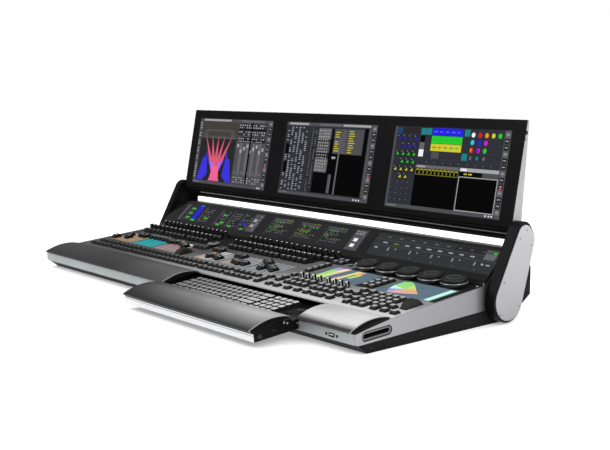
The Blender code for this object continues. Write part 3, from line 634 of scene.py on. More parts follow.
def make_surface_trim():
    """Slot lips, the encoders' dark field, status lights and the round button of the control surface."""
    trim = Solid()
    lips = [(*span, FADER_NEAR, FADER_FAR) for x in PLAYBACKS for span in both_sides(x, 1.85, 2.25)]
    add_areas(trim, lips, -2.6, 0.45, 0.1, None)
    button = turned([(5.2, -0.2), (5.2, 3.0), (4.7, 3.6), (3.0, 3.4)], 24, ["key_side"] * 3 + ["key_top"] * 2)
    light = turned([(1.6, -0.2), (1.6, 0.5), (1.2, 0.8)], 12, "dot")
    for made, x, depth in ((button, 249, 305), (light, 605, 330), (light, 240, 333), (light, 262, 333)):
        trim.add(made.moved(x, deck_y(depth), 0))
    low, high = ENCODER_DEPTH - ENCODER_HOLE, ENCODER_DEPTH + ENCODER_HOLE
    edges = [272.0] + [edge for x in ENCODERS for edge in (x - ENCODER_HOLE, x + ENCODER_HOLE)] + [613.0]
    surround = [(272, 613, 283.5, low), (272, 613, high, 341.5)]
    surround += [(a, b, low, high) for a, b in zip(edges[::2], edges[1::2])]
    surround += [(598.5, 613, 189, 283.5), (382.5, 398, 189, 283.5), (444, 444.4, 189, 283.5)]
    add_areas(trim, surround, 0.02, 0.3, 0.1, 0.1)
    add_areas(trim, [(-613.4, 613.4, 338.5, 342.0)], 0.3, 7.9, 0.2, None)
    trim.piece("surface_trim", "desk", DECK, "panel_grey")


# ---------------------------------------------------------------- displays


class Display:
    """A lit picture made of thin tiles. Shares run from its left and from its top."""

    LAYER = 0.06

    def __init__(self, width, height, thick, look, ease):
        self.width, self.height, self.thick, self.ease = width, height, thick, ease
        self.solid = Solid()
        self.tile(0, 1, 0, 1, look, 0)

    def at(self, across, down):
        """Shares as judged from the right-hand end, where the far columns look narrower, are eased back out."""
        across = self.ease * across / (self.ease * across + 1 - across)
        return (across - 0.5) * self.width, (0.5 - down) * self.height

    def flat(self, outline, look, layer):
        loops = [[(x, y, z) for x, y in outline] for z in (0.02, self.thick + self.LAYER * layer)]
        self.solid.add(loft(loops, look))

    def tile(self, u0, u1, v0, v1, look, layer=1):
        (x0, y1), (x1, y0) = self.at(u0, v0), self.at(u1, v1)
        self.flat([(x0, y0), (x1, y0), (x1, y1), (x0, y1)], look, layer)

    def tiles(self, *rows):
        for row in rows:
            self.tile(*row)

    def shape(self, corners, look, layer=1):
        """A flat shape whose corners are shares, anticlockwise on the display."""
        self.flat([self.at(*corner) for corner in corners], look, layer)

    def disc(self, u, v, radius, look, layer=2, squeeze=1.0, start=0.0, turn=1.0):
        x, y = self.at(u, v)
        angles = [2 * math.pi * (start + turn * i / 14) for i in range(14 if turn >= 1 else 15)]
        outline = [(x + radius * squeeze * math.cos(a), y + radius * math.sin(a)) for a in angles]
        self.flat(outline, look, layer)

    def dashes(self, u0, u1, v0, v1, columns, rows, look, layer=2, fill=(0.7, 0.35), skip=0.0, seed=1):
        """Rows of short marks where a real display shows text."""
        draw = random.Random(seed)
        step_u, step_v = (u1 - u0) / columns, (v1 - v0) / rows
        for row in range(rows):
            for column in range(columns):
                if draw.random() < skip:
                    continue
                u, v = u0 + step_u * column, v0 + step_v * (row + 0.3)
                self.tile(u, u + step_u * fill[0] * (0.6 + 0.4 * draw.random()), v, v + step_v * fill[1], look, layer)

    def frame(self, u0, u1, v0, v1, look, line, layer):
        """A thin outline whose lines are a share of the display's width."""
        tall = line * self.width / self.height
        self.tile(u0, u1, v0, v0 + tall, look, layer)
        self.tile(u0, u1, v1 - tall, v1, look, layer)
        self.tile(u0, u0 + line, v0 + tall, v1 - tall, look, layer)
        self.tile(u1 - line, u1, v0 + tall, v1 - tall, look, layer)


def side_bar(screen, marks, seed):
    """The column of buttons at a display's right edge and the bar along its bottom."""
    screen.tile(0.945, 1, 0, 1, "ui_grey", 2)
    for i in range(13):
        v = 0.02 + i * 0.073
        screen.tile(0.952, 0.993, v, v + 0.062, "ui_dark" if i % 3 else "ui_mid", 3)
        screen.tile(0.96, 0.984, v + 0.022, v + 0.034, "ui_light", 4)
    screen.disc(0.971, 0.66, 2.6, "beam_rose", 4)
    screen.tile(0, 1, 0.955, 1, "ui_grey", 2)
    screen.dashes(0.02, 0.10, 0.962, 0.99, 3, 1, "ui_light", 3, (0.7, 0.3), 0, seed)
    for u in marks:
        screen.tile(u, u + 0.012, 0.968, 0.985, "ui_white", 3)


def paint_left_screen(screen):
    """A stage picture with crossing beams, and windows of faders."""
    screen.tiles(
        (0, 1, 0, 0.04, "ui_grey"), (0.05, 0.42, 0.006, 0.034, "ui_light", 2),
        (0.56, 0.88, 0.006, 0.034, "ui_mid", 2), (0, 0.04, 0.04, 0.95, "ui_grey"),
        (0.045, 0.525, 0.04, 0.95, "ui_brown"), (0.045, 0.525, 0.30, 0.95, "ui_dark", 2),
    )
    screen.dashes(0.008, 0.036, 0.05, 0.92, 1, 22, "ui_light", 2, (0.9, 0.4), 0.2, 5)
    screen.shape([(0.045, 0.30), (0.525, 0.30), (0.47, 0.16), (0.10, 0.16)], "ui_grey", 3)
    screen.shape([(0.12, 0.26), (0.45, 0.26), (0.43, 0.19), (0.14, 0.19)], "ui_brown", 4)
    floor_v, middle_v = 0.945, 0.66
    screen.shape([(0.05, floor_v), (0.52, floor_v), (0.47, 0.60), (0.10, 0.60)], "beam_blue", 3)
    screen.shape([(0.05, floor_v), (0.13, floor_v), (0.17, 0.42)], "beam_blue", 4)
    screen.shape([(0.44, floor_v), (0.52, floor_v), (0.40, 0.42)], "beam_blue", 4)
    for top in (0.14, 0.20, 0.27, 0.34, 0.41):
        low = 0.285 + (0.275 - top) * 0.25
        for left, right in both_sides(low, 0.07, 0.13):
            screen.shape([(left, floor_v), (right, floor_v), (top + 0.01, 0.5)], "ui_dark", 4)
    for top in (0.10, 0.19, 0.275, 0.36, 0.46):
        low = 0.285 + (0.275 - top) * 0.18
        middle = top * 0.45 + low * 0.55
        left, right = (middle - 0.024, middle_v), (middle + 0.024, middle_v)
        screen.shape([left, right, (top + 0.006, 0.26)], "beam_rose", 6)
        screen.shape([(low - 0.045, floor_v), (low + 0.045, floor_v), right, left], "beam_violet", 5)
    screen.shape([(0.22, floor_v), (0.35, floor_v), (0.325, 0.72), (0.245, 0.72)], "beam_pink", 8)
    screen.shape([(0.255, 0.72), (0.315, 0.72), (0.29, 0.56), (0.28, 0.56)], "beam_rose", 9)
    screen.tile(0.53, 0.94, 0.04, 0.95, "ui_grey")
    for i, v in enumerate((0.05, 0.15, 0.25)):
        screen.tile(0.54, 0.93, v, v + 0.085, "ui_slate", 2)
        screen.dashes(0.55, 0.92, v + 0.01, v + 0.08, 12, 2, "ui_light", 3, (0.7, 0.5), 0.15, 11 + i)
    screen.tiles((0.54, 0.93, 0.135, 0.15, "ui_black", 3), (0.54, 0.93, 0.29, 0.31, "ui_black", 4))
    for i in range(9):
        u = 0.545 + i * 0.043
        top = 0.36 + 0.04 * ((i * 5) % 3)
        screen.tile(u, u + 0.034, 0.34, 0.82, "ui_mid" if i % 2 else "ui_grey", 3)
        screen.tile(u + 0.004, u + 0.030, top, top + 0.05, "ui_light", 4)
        screen.tile(u + 0.004, u + 0.030, 0.76, 0.80, "ui_mid", 4)
    screen.tile(0.715, 0.735, 0.04, 0.94, "ui_black", 5)
    screen.dashes(0.55, 0.93, 0.84, 0.94, 10, 3, "ui_light", 3, (0.6, 0.4), 0.3, 17)
    side_bar(screen, (0.90, 0.925), 3)


def paint_middle_screen(screen):
    """Grey sheets of small text, black windows and yellow value rows."""
    screen.tiles(
        (0, 0.94, 0, 0.045, "ui_grey"), (0.03, 0.24, 0.008, 0.036, "ui_light", 2),
        (0.36, 0.60, 0.008, 0.036, "ui_mid", 2), (0.62, 0.93, 0.008, 0.036, "ui_light", 2),
        (0.02, 0.055, 0.30, 0.44, "ui_black", 3), (0.02, 0.055, 0.54, 0.70, "ui_black", 3),
        (0.28, 0.36, 0.06, 0.94, "ui_dark", 2), (0.36, 0.60, 0.20, 0.94, "ui_black", 2),
        (0.36, 0.50, 0.07, 0.22, "ui_mid", 3), (0.36, 0.50, 0.24, 0.40, "ui_grey", 3),
        (0.36, 0.50, 0.42, 0.47, "ui_dark", 3), (0.36, 0.50, 0.48, 0.66, "ui_mid", 3),
        (0.51, 0.53, 0.07, 0.20, "ui_black", 3), (0.54, 0.58, 0.44, 0.47, "ui_light", 3),
        (0.53, 0.56, 0.68, 0.93, "ui_mid", 3), (0.54, 0.86, 0.07, 0.40, "ui_grey", 4),
        (0.62, 0.91, 0.40, 0.94, "ui_black", 4), (0.87, 0.91, 0.05, 0.40, "ui_black", 4),
        (0.605, 0.618, 0.20, 0.94, "ui_mid", 5), (0.915, 0.943, 0.05, 0.94, "ui_grey", 3),
    )
    screen.dashes(0.02, 0.26, 0.06, 0.94, 6, 34, "ui_light", 2, (0.55, 0.45), 0.25, 21)
    screen.dashes(0.29, 0.36, 0.06, 0.94, 2, 34, "ui_mid", 3, (0.6, 0.45), 0.1, 22)
    screen.dashes(0.37, 0.49, 0.08, 0.65, 5, 14, "ui_light", 4, (0.6, 0.4), 0.05, 23)
    screen.dashes(0.53, 0.56, 0.68, 0.93, 1, 12, "ui_dark", 4, (0.8, 0.4), 0, 24)
    screen.dashes(0.55, 0.62, 0.10, 0.38, 1, 9, "ui_yellow", 5, (0.8, 0.35), 0.1, 25)
    screen.dashes(0.70, 0.80, 0.08, 0.39, 1, 10, "ui_yellow", 5, (0.7, 0.35), 0.05, 26)
    screen.dashes(0.63, 0.69, 0.08, 0.39, 1, 10, "ui_mid", 5, (0.7, 0.35), 0.05, 27)
    side_bar(screen, (0.84, 0.87, 0.90), 4)


def paint_right_screen(screen):
    """Pools of coloured icons, colour bands, and black windows with a white frame."""
    screen.tiles(
        (0, 0.018, 0, 1, "ui_grey"), (0.022, 0.065, 0.01, 0.085, "ui_navy", 2),
        (0.07, 0.21, 0.01, 0.085, "ui_dark", 2),
    )
    rows = (
        (0.14, "ui_blue", 0, 4), (0.235, "ui_blue", 1, 4), (0.33, "ui_green", 0, 4), (0.425, "ui_green", 1, 4),
        (0.52, "ui_yellow", 0, 4), (0.61, "ui_yellow", 1, 3),
    )
    for v, look, first, end in rows:
        for i in range(first, end):
            u = 0.045 + 0.047 * i
            screen.tile(u - 0.020, u + 0.020, v - 0.038, v + 0.038, "ui_dark", 2)
            screen.shape([(u - 0.011, v + 0.02), (u + 0.012, v + 0.02), (u + 0.006, v - 0.016)], look, 3)
            screen.tile(u - 0.014, u - 0.006, v - 0.030, v - 0.022, "ui_light", 3)
    screen.dashes(0.03, 0.21, 0.66, 0.94, 4, 4, "ui_light", 2, (0.12, 0.08), 0, 31)
    for v in (0.0, 0.095, 0.19, 0.285, 0.38):
        screen.tile(0.22, 0.94, v + 0.092, v + 0.0935, "ui_grey", 3)
    for v, look, marks in (
        (0.005, "ui_blue", "ui_violet_line"), (0.10, "ui_green", "ui_leaf"), (0.193, "ui_yellow", "ui_leaf"),
    ):
        screen.tile(0.322, 0.585, v, v + 0.087, look, 4)
        screen.dashes(0.335, 0.585, v + 0.02, v + 0.07, 5, 1, marks, 5)
    screen.tiles(
        (0.225, 0.268, 0.01, 0.088, "ui_teal", 2), (0.272, 0.315, 0.01, 0.088, "ui_teal", 2),
        (0.225, 0.265, 0.10, 0.178, "ui_black", 4), (0.225, 0.265, 0.185, 0.27, "ui_mid", 4),
        (0.225, 0.265, 0.27, 0.355, "ui_white", 4), (0.335, 0.40, 0.29, 0.37, "ui_grey", 4),
        (0.60, 0.645, 0.01, 0.088, "ui_teal", 4), (0.60, 0.645, 0.29, 0.37, "ui_teal", 4),
    )
    discs = (
        (0.068, 5.6, 4, (0.9,), ("ui_white", "ui_red", "ui_orange", "ui_yellow", "ui_green")),
        (0.155, 5.6, 4, (0.9,), ("ui_cyan", "ui_blue", "ui_magenta")),
        (0.245, 5.6, 4, (0.9,), ("ui_red", "ui_magenta", "ui_green")),
        (0.245, 5.0, 5, (0.8, 0.25, 0.5), ("ui_orange", "ui_blue", "ui_leaf")),
        (0.335, 4.4, 4, (0.8,), ("ui_mid", "ui_teal", "ui_mid")),
    )
    for v, radius, layer, form, looks in discs:
        for i, look in enumerate(looks):
            screen.disc(0.675 + 0.058 * i, v, radius, look, layer, *form)
    screen.dashes(0.30, 0.93, 0.40, 0.45, 9, 1, "ui_light", 3, (0.10, 0.12), 0, 33)
    screen.tiles(
        (0.22, 0.592, 0.455, 0.492, "ui_mid", 4), (0.23, 0.30, 0.463, 0.484, "ui_light", 5),
        (0.22, 0.592, 0.495, 0.955, "ui_black", 3), (0.60, 0.942, 0.455, 0.955, "ui_black", 3),
        (0.60, 0.942, 0.455, 0.497, "ui_light", 5), (0.61, 0.66, 0.463, 0.488, "ui_white", 6),
        (0.80, 0.942, 0.50, 0.55, "ui_grey", 4),
    )
    for i in range(11):
        u = 0.224 + 0.0335 * i
        screen.frame(u, u + 0.031, 0.50, 0.575, "ui_olive", 0.004, 5)
        screen.tile(u + 0.008, u + 0.024, 0.508, 0.516, "ui_yellow", 6)
    screen.dashes(0.64, 0.72, 0.51, 0.535, 2, 1, "ui_yellow", 5, (0.8, 0.6), 0, 34)
    screen.frame(0.60, 0.942, 0.555, 0.955, "ui_light", 0.006, 6)
    side_bar(screen, (0.87, 0.90, 0.925), 5)


def paint_letterbox_left(screen):
    """Narrow columns of marks, a blue and a green bar, and a grey block of buttons."""
    screen.tiles(
        (0.155, 0.205, 0.05, 0.80, "ui_blue", 2), (0.155, 0.205, 0.82, 0.90, "ui_green", 2),
        (0.16, 0.20, 0.02, 0.05, "ui_leaf", 2), (0.0, 0.035, 0.05, 0.95, "ui_grey", 2),
        (0.79, 0.84, 0.56, 0.66, "ui_blue", 3), (0.88, 0.985, 0.03, 0.97, "ui_grey", 2),
    )
    for v in (0.20, 0.45, 0.70):
        screen.tile(0.075, 0.125, v, v + 0.10, "ui_leaf", 2)
        screen.dashes(0.06, 0.14, v + 0.12, v + 0.2, 3, 1, "ui_mid", 2)
    for u, seed in ((0.26, 41), (0.47, 42), (0.62, 43), (0.77, 44)):
        screen.tile(u - 0.012, u - 0.008, 0.05, 0.95, "ui_mid", 2)
        screen.dashes(u, u + 0.11, 0.12, 0.88, 4, 6, "ui_mid", 2, (0.7, 0.45), 0.3, seed)
    for u, v in ((0.30, 0.62), (0.50, 0.30), (0.52, 0.70), (0.64, 0.82), (0.80, 0.86), (0.49, 0.84)):
        screen.tile(u, u + 0.045, v, v + 0.085, "ui_leaf", 3)
    for v in (0.30, 0.58):
        screen.tile(0.90, 0.94, v, v + 0.14, "ui_light", 3)
    screen.dashes(0.95, 0.98, 0.1, 0.9, 1, 9, "ui_light", 3, (0.8, 0.3), 0.2, 45)


def paint_letterbox_middle(screen):
    """Three columns of short coloured marks, and two white blocks at the right."""
    bands = (  # left, width, top, bottom, columns, rows, finish, layer, fill, skip and first seed
        (0, 0.19, 0.06, 0.26, 12, 4, "ui_mid", 2, (0.8, 0.6), 0.1, 51),
        (0.12, 0.19, 0.05, 0.12, 4, 1, "ui_olive", 3, (0.75, 0.6), 0.1, 61),
        (0, 0.19, 0.20, 0.30, 6, 1, "ui_leaf", 3, (0.5, 0.6), 0.4, 71),
        (0, 0.13, 0.32, 0.46, 8, 2, "ui_mid", 2, (0.7, 0.6), 0.3, 81),
        (0, 0.13, 0.40, 0.50, 6, 1, "ui_olive", 3, (0.6, 0.6), 0.3, 91),
        (0, 0.12, 0.48, 0.56, 4, 1, "ui_leaf", 3, (0.6, 0.6), 0.3, 101),
        (0, 0.20, 0.58, 0.66, 7, 1, "ui_olive", 2, (0.6, 0.4), 0.3, 111),
        (0, 0.17, 0.62, 0.82, 6, 2, "ui_mid", 3, (0.6, 0.5), 0.2, 121),
    )
    for i, u in enumerate((0.03, 0.31, 0.59)):
        screen.tile(u - 0.014, u - 0.011, 0.03, 0.97, "ui_grey", 2)
        for left, right, *band, seed in bands:
            screen.dashes(u + left, u + right, *band, seed + i)
    screen.tile(0.865, 0.985, 0.02, 0.98, "ui_grey", 2)
    screen.dashes(0.88, 0.97, 0.05, 0.25, 3, 2, "ui_light", 3, (0.7, 0.5), 0.1, 99)
    for v in (0.42, 0.68):
        screen.tile(0.895, 0.935, v, v + 0.15, "ui_white", 3)


def paint_letterbox_right(screen):
    """Rows of marks over five round dials, one for each encoder."""
    screen.tiles((0.0, 1.0, 0.27, 0.285, "ui_grey", 2), (0.0, 1.0, 0.50, 0.515, "ui_grey", 2))
    for i in range(9):
        screen.tile(0.08 + 0.095 * i, 0.105 + 0.095 * i, 0.12, 0.165, "ui_mid", 2)
        screen.tile(0.07 + 0.088 * i, 0.105 + 0.088 * i, 0.37, 0.42, "ui_olive" if i == 1 else "ui_light", 2)
    screen.tiles(
        (0.63, 0.86, 0.03, 0.26, "ui_dark", 2), (0.88, 0.97, 0.06, 0.44, "ui_mid", 2),
        (0.885, 0.965, 0.08, 0.22, "ui_grey", 3), (0.94, 0.96, 0.12, 0.19, "ui_green", 4),
        (0.03, 0.055, 0.62, 0.68, "ui_light", 2),
    )
    for u in (0.14, 0.315, 0.49, 0.66, 0.84):
        screen.disc(u, 0.66, 5.2, "ui_light", 3, 0.42)
        screen.disc(u, 0.66, 3.0, "ui_mid", 4, 0.42)
        screen.tile(u + 0.05, u + 0.06, 0.60, 0.64, "ui_light", 2)
        screen.tile(u + 0.02, u + 0.032, 0.88, 0.91, "ui_mid", 2)
    screen.dashes(0.89, 0.97, 0.60, 0.68, 2, 1, "ui_light", 2, (0.8, 0.6), 0, 101)


def paint_left_touch(screen):
    """Colour beams; each shape is its two bottom corners, its two top corners, a finish and a layer."""
    shapes = (
        ((0.06, 0.28), 1.0, (0.29, 0.08), 0.62, "touch_lime", 2),
        ((0.07, 0.18), 0.66, (0.19, 0.04), 0.25, "touch_green", 3),
        ((0.17, 0.27), 0.80, (0.31, 0.18), 0.20, "touch_yellow", 4),
        ((0.03, 0.18), 0.27, (0.20, 0.04), 0.0, "touch_violet", 2),
        ((0.17, 0.32), 0.22, (0.33, 0.18), 0.0, "touch_pink", 3),
        ((0.21, 0.26), 0.30, (0.28, 0.24), 0.0, "slot_white", 5),
        ((0.45, 0.55), 1.0, (0.58, 0.49), 0.02, "touch_yellow", 2),
        ((0.57, 0.66), 0.32, (0.68, 0.58), 0.05, "touch_orange", 3),
        ((0.60, 0.68), 0.62, (0.71, 0.64), 0.26, "touch_lime", 4),
        ((0.42, 0.46), 0.78, (0.47, 0.43), 0.60, "beam_violet", 3),
    )
    for (a, b), low, (c, d), high, look, layer in shapes:
        screen.shape([(a, low), (b, low), (c, high), (d, high)], look, layer)
    screen.tile(0, 1, 0.95, 1, "ui_mid", 1)


def paint_right_touch(screen):
    """A chromaticity shape: wedges of colour round a centre."""
    rim = (
        ((0.04, 0.10), "touch_green"), ((0.16, 0.02), "touch_green"), ((0.29, 0.17), "touch_lime"),
        ((0.50, 0.50), "touch_orange"), ((0.64, 0.71), "touch_pink"), ((0.445, 0.86), "touch_pink"),
        ((0.20, 0.97), "touch_violet"), ((0.10, 0.70), "touch_mint"), ((0.044, 0.43), "touch_green"),
    )
    for i, (corner, look) in enumerate(rim):
        screen.shape([corner, (0.31, 0.56), rim[(i + 1) % len(rim)][0]], look, 2 + i % 2)
    screen.tile(0.885, 0.98, 0.03, 0.97, "touch_mint", 2)


def make_screens():
    """Three pictures in the wing, three in the letterbox and the two touch screens in the control surface."""
    wing = zip(WING_SCREENS, (paint_left_screen, paint_middle_screen, paint_right_screen), (1.095, 1.107, 1.123))
    screens = [
        (f"wing_screen_{i}", "display_wing", WING_FACE @ shift(x, 0, 0), WING_SCREEN, "ui_slate", ease, paint)
        for i, (x, paint, ease) in enumerate(wing, 1)
    ]
    letterbox = (
        (-372.0, paint_letterbox_left, "ui_dark", 1.10), (29.0, paint_letterbox_middle, "ui_dark", 1.115),
        (429.0, paint_letterbox_right, "ui_steel", 1.135),
    )
    screens += [
        (f"letterbox_screen_{i}", "desk", LETTERBOX_FACE @ shift(x, 0, 0), LETTERBOX_SCREEN, back, ease, paint)
        for i, (x, paint, back, ease) in enumerate(letterbox, 1)
    ]
    for i, (x, paint) in enumerate(zip(SCREENS, (paint_left_touch, paint_right_touch)), 1):
        place = DECK @ shift(x, deck_y(SCREEN_DEPTH), -1.1)
        screens.append((f"touch_screen_{i}", "desk", place, TOUCH_SCREEN, "touch_blue", 1.0, paint))
    for name, body, place, size, back, ease, paint in screens:
        screen = Display(*size, back, ease)
        paint(screen)
        screen.solid.piece(name, body, place, "display_glass")


# ---------------------------------------------------------------- armrests and drawer


def make_rest(name, x0, x1, body, place, node, look, soft_left, soft_right):
    """An arched pad; a soft end is rounded over in plan and in height."""
    arches = 18
    depths = [-41.0 + 104.6 * i / arches for i in range(arches + 1)]
    under = [(-40.6, 45.6), (-39.6, 44.2), (-35.0, 41.7), (62.0, 58.5)]
    arch = [(d, 64.5 - 0.00371 * (d - 28.0) ** 2) for d in depths[::-1]]
    steps = [(0.0, 0.45), (0.12, 0.66), (0.3, 0.83), (0.6, 0.95), (1.0, 1.0)]
    stations = [(x0 + soft_left * share, scale) for share, scale in steps]
    stations += [(x1 - soft_right * share, scale) for share, scale in steps[::-1]]
    loops = []
    for x, scale in stations:
        loop = [(x, d, z) for d, z in under]
        for d, z in arch:
            foot = 41.7 + (d + 35.0) * 16.8 / 97.0 if d > -35.0 else 44.0
            loop.append((x, d, foot + (z - foot) * scale))
        squeeze = 1.0 - (1.0 - scale) * 0.3
        loops.append([(x, 11.0 + (d - 11.0) * squeeze, z) for x, d, z in loop])
    looks = ["black_satin"] + [look] * (len(loops) - 1) + ["black_satin"]
    # The first band of the rounded right end is a painted highlight.
    if soft_right < 6:
        looks[-5:] = ["rest_edge"] + ["black_satin"] * 4
    loft(loops, looks).piece(name, body, place, "armrest_black", [node], 30)


def make_rests():
    left, right = DRAWER
    gap = 1.5
    # Each rest's finish is painted light: darker on the left, lighter on the right.
    make_rest("left_rest", -HALF_WIDTH + 3.0, left - gap, "desk", DESK, "armrest_left", "rest_dark", 16.0, 5.0)
    make_rest("right_rest", right + gap, HALF_WIDTH + 0.5, "desk", DESK, "armrest_right", "rest_silver", 3.0, 5.0)
    make_rest("drawer_rest", left, right, "drawer", DRAWER_DESK, "drawer_armrest", "rest_drawer", 6.0, 5.0)


def make_drawer_trim():
    """The bright front strip, its end caps, the black end face's port, catch and screws."""
    trim = Solid()
    left, right = DRAWER
    front = [(-0.9, 16.0), (-0.6, 16.4), (0.0, 16.4), (0.0, 0.2), (-0.9, 0.6)]
    # The groove is a near-black line of painted shade.
    groove = [(-1.2, 13.2), (-0.8, 13.2), (-0.8, 12.6), (-1.2, 12.6)]
    for outline, look in ((front, "trim_silver"), (groove, "hole")):
        trim.add(extruded(outline, left + 0.4, right - 0.4, look))
    side = spin("Y", 90)
    port = turned([(5.0, -0.2), (5.0, 0.9), (4.4, 1.2), (3.6, 1.2), (3.4, 0.2), (2.0, 0.2)], 28, "gloss")
    trim.add(port, shift(right, 14.0, 9.4) @ side)
    trim.add(slab(-1.6, 1.6, -5.0, 5.0, -0.2, 0.8, "gloss", 0.3, 1.4), shift(right, 50.0, 13.0) @ side)
    trim.add(slab(-0.8, 0.8, -3.6, 3.6, 0.2, 1.0, "hole", 0.1, 0.7), shift(right, 50.0, 13.0) @ side)
    screw = screw_head(1.9, "bright")
    for y, z in ((76.0, 21.0), (84.0, 17.8), (110.0, 12.0), (190.0, 12.0)):
        trim.add(screw, shift(right, y, z) @ side)
    for y in (110.0, 190.0):
        trim.add(screw, shift(left, y, 12.0) @ side.inverted())
    trim.piece("drawer_trim", "drawer", TRAY, "brushed_trim")


def make_keyboard():
    """Caps of a plain keyboard, five rows with a long bar and a few wider keys, on its black plate."""
    board = Solid()
    left, right = DRAWER
    pitch, first_x, first_y, base = 19.0, left + 22.0, 104.0, 13.2
    edge = first_x + pitch * 19 - 8
    board.add(slab(left + 4.2, edge, 99.2, 203.8, 12.6, 13.8, "mat_black", 0.3, 2.0))
    rows = (  # each row's key widths in pitches, nearest row first; four more keys follow after a gap
        (1.25, 1.25, 1.25, 6.25, 1.25, 1.25, 1.25, 1.25), (2.25, *[1] * 10, 2.75), (1.75, *[1] * 11, 2.25),
        (1.5, *[1] * 12, 1.5), (*[1] * 13, 2.0),
    )
    for row, widths in enumerate(rows):
        starts = [sum(widths[:i]) for i in range(len(widths))] + [15.25 + i for i in range(4)]
        for start, width in zip(starts, (*widths, 1, 1, 1, 1)):
            # Each cap's top is painted light.
            cap = key_cap(pitch * width - 3.6, pitch - 3.8, 6.3, 0.9, "board_top", 0.0)
            x = first_x - pitch / 2 + pitch * (start + width / 2)
            board.add(cap.moved(x, first_y + pitch * (row + 0.5), base))
    board.piece("keyboard_caps", "keyboard", TRAY, "key_black", ["keyboard_keys"])
    plate = slab(edge + 2, right - 3.4, 97.6, 212, 9.4, 13.6, "gloss", 0.4, 2.0)
    plate.piece("drawer_plate", "drawer", TRAY, "armrest_black")


# ---------------------------------------------------------------- body details


def make_pocket_handles():
    """The loop handle that lies in each side panel's pocket, with a near-black lining painted as the shade deep in the
    pocket.
    """
    ends = [(d, 33.4 + (d + 4.8) * 3.4 / 61.1) for d in (-4.8, 56.3)]
    rim = [(d, z, math.pi * (0.5 + end + i / 8)) for end, (d, z) in enumerate(ends) for i in range(9)]
    for side, sign in (("left", -1), ("right", 1)):
        made = Solid()
        x = sign * (HALF_WIDTH - 2.6)
        lining = [(d + 10.4 * math.cos(a), z + 10.4 * math.sin(a)) for d, z, a in rim]
        inner, outer = sorted((x - sign * 14.0, x - sign * 12.5))
        made.add(extruded(lining, inner, outer, "hole"))
        for out, reach, radius, look, steps in (
            (0.2, 6.2, 1.9, "cable", 10), (-3.0, 3.2, 1.4, "black_satin", 8), (2.0, 9.3, 0.8, "black_satin", 8),
        ):
            path = [(x + sign * out, d + reach * math.cos(a), z + reach * math.sin(a)) for d, z, a in rim]
            made.add(closed_tube(path, radius, look, steps))
        made.piece("pocket_handle_" + side, "desk", DESK, "black_sheet")


def make_screws():
    """Small dark screws on the shoulder covers and the base's sides, and the wing's end details."""
    cap = turned([(4.2, -0.4), (4.2, 0.8), (3.6, 1.0), (2.4, 1.0), (2.2, 0.3), (1.0, 0.3)], 24, "gloss")
    for side, sign in (("left", -1), ("right", 1)):
        made, wing = Solid(), Solid()
        out = spin("Y", sign * 90)
        for d, z in ((372.0, 90.0), (423.0, 178.0), (444.0, 194.0), (460.0, 160.0), (424.0, 34.0), (362.0, 22.0)):
            made.add(screw_head(1.7), shift(sign * 642.0, d, z) @ out)
        for d, z in ((10.0, 10.0), (150.0, 12.5), (290.0, 15.0)):
            made.add(screw_head(2.0), shift(sign * HALF_WIDTH, d, z) @ out)
        made.piece("side_screws_" + side, "desk", DESK, "black_sheet")
        wing.add(cap, shift(sign * 612.0, -12.6, 201.0) @ out)
        wing.add(screw_head(1.8), shift(sign * 612.0, -12.6, 187.0) @ out)
        wing.piece("wing_end_cap_" + side, "display_wing", WING, "black_sheet")


def make_front_ports():
    """The port and its two round neighbours in the right part of the front rail."""
    made = Solid()
    face = shift(551.5, -30.0, 28.8) @ UPRIGHT
    made.add(slab(-8.0, 8.0, -4.0, 4.0, -0.3, 0.9, "gloss", 0.3, 0.8), face)
    made.add(slab(-6.4, 6.4, -2.6, 2.6, 0.4, 1.05, "hole", 0.1, 0.3), face)
    made.add(slab(-5.4, 5.4, 0.2, 1.7, 0.7, 1.2, "bright", 0.1, 0.2), face)
    ring = turned([(2.9, -0.3), (2.9, 0.8), (2.4, 1.0), (1.9, 1.0), (1.7, 0.2), (0.6, 0.2)], 20, "gloss")
    for x in (-15.0, 15.0):
        made.add(ring, face @ shift(x, 0, 0))
    made.piece("front_ports", "desk", DESK, "black_sheet")


def make_wing_edges():
    """The bright line along the wing's top edge, and the dark frame lines round its displays."""
    made = Solid()
    top = [(-14.4, 227.8), (-9.2, 227.8), (-9.2, 228.9), (-9.8, 229.3), (-13.9, 229.3), (-14.4, 228.9)]
    made.add(extruded(top, -611.4, 611.4, "trim_silver"))
    half_x, half_z = WING_SCREEN[0] / 2, WING_SCREEN[1] / 2
    line = 1.6
    for x in WING_SCREENS:
        for x0, x1, z0, z1 in (
            (-half_x - line, half_x + line, half_z, half_z + line),
            (-half_x - line, half_x + line, -half_z - line, -half_z),
            (-half_x - line, -half_x, -half_z, half_z), (half_x, half_x + line, -half_z, half_z),
        ):
            made.add(plain(x + x0, x + x1, -17.65, -17.4, WING_MIDDLE + z0, WING_MIDDLE + z1, "gloss"))
    made.piece("wing_edges", "display_wing", WING, "satin_aluminium")


def make_wing_back():
    """Access covers with screws and cooling slots on the wing's back; the photo doesn't show this side."""
    made = Solid()
    back = WING @ shift(0, 17.5, 0) @ spin("X", 2.35)
    for x in WING_SCREENS:
        place = BACKWARD @ UPRIGHT @ shift(-x, 108.0, -0.4)
        made.add(slab(-150, 150, -62, 62, 0, 1.6, "wing_silver", 0.5, 6.0), place)
        for across in (-142, 142):
            for up in (-54, 54):
                made.add(screw_head(2.2), place @ shift(across, up, 1.4))
        for up in (-36, 36):
            for u in range(-115, 125, 10):
                made.add(slab(u - 1.4, u + 1.4, up - 10, up + 10, 1.2, 1.75, "hole", 0.1, 1.2), place)
    made.piece("wing_back_covers", "display_wing", back, "satin_aluminium")


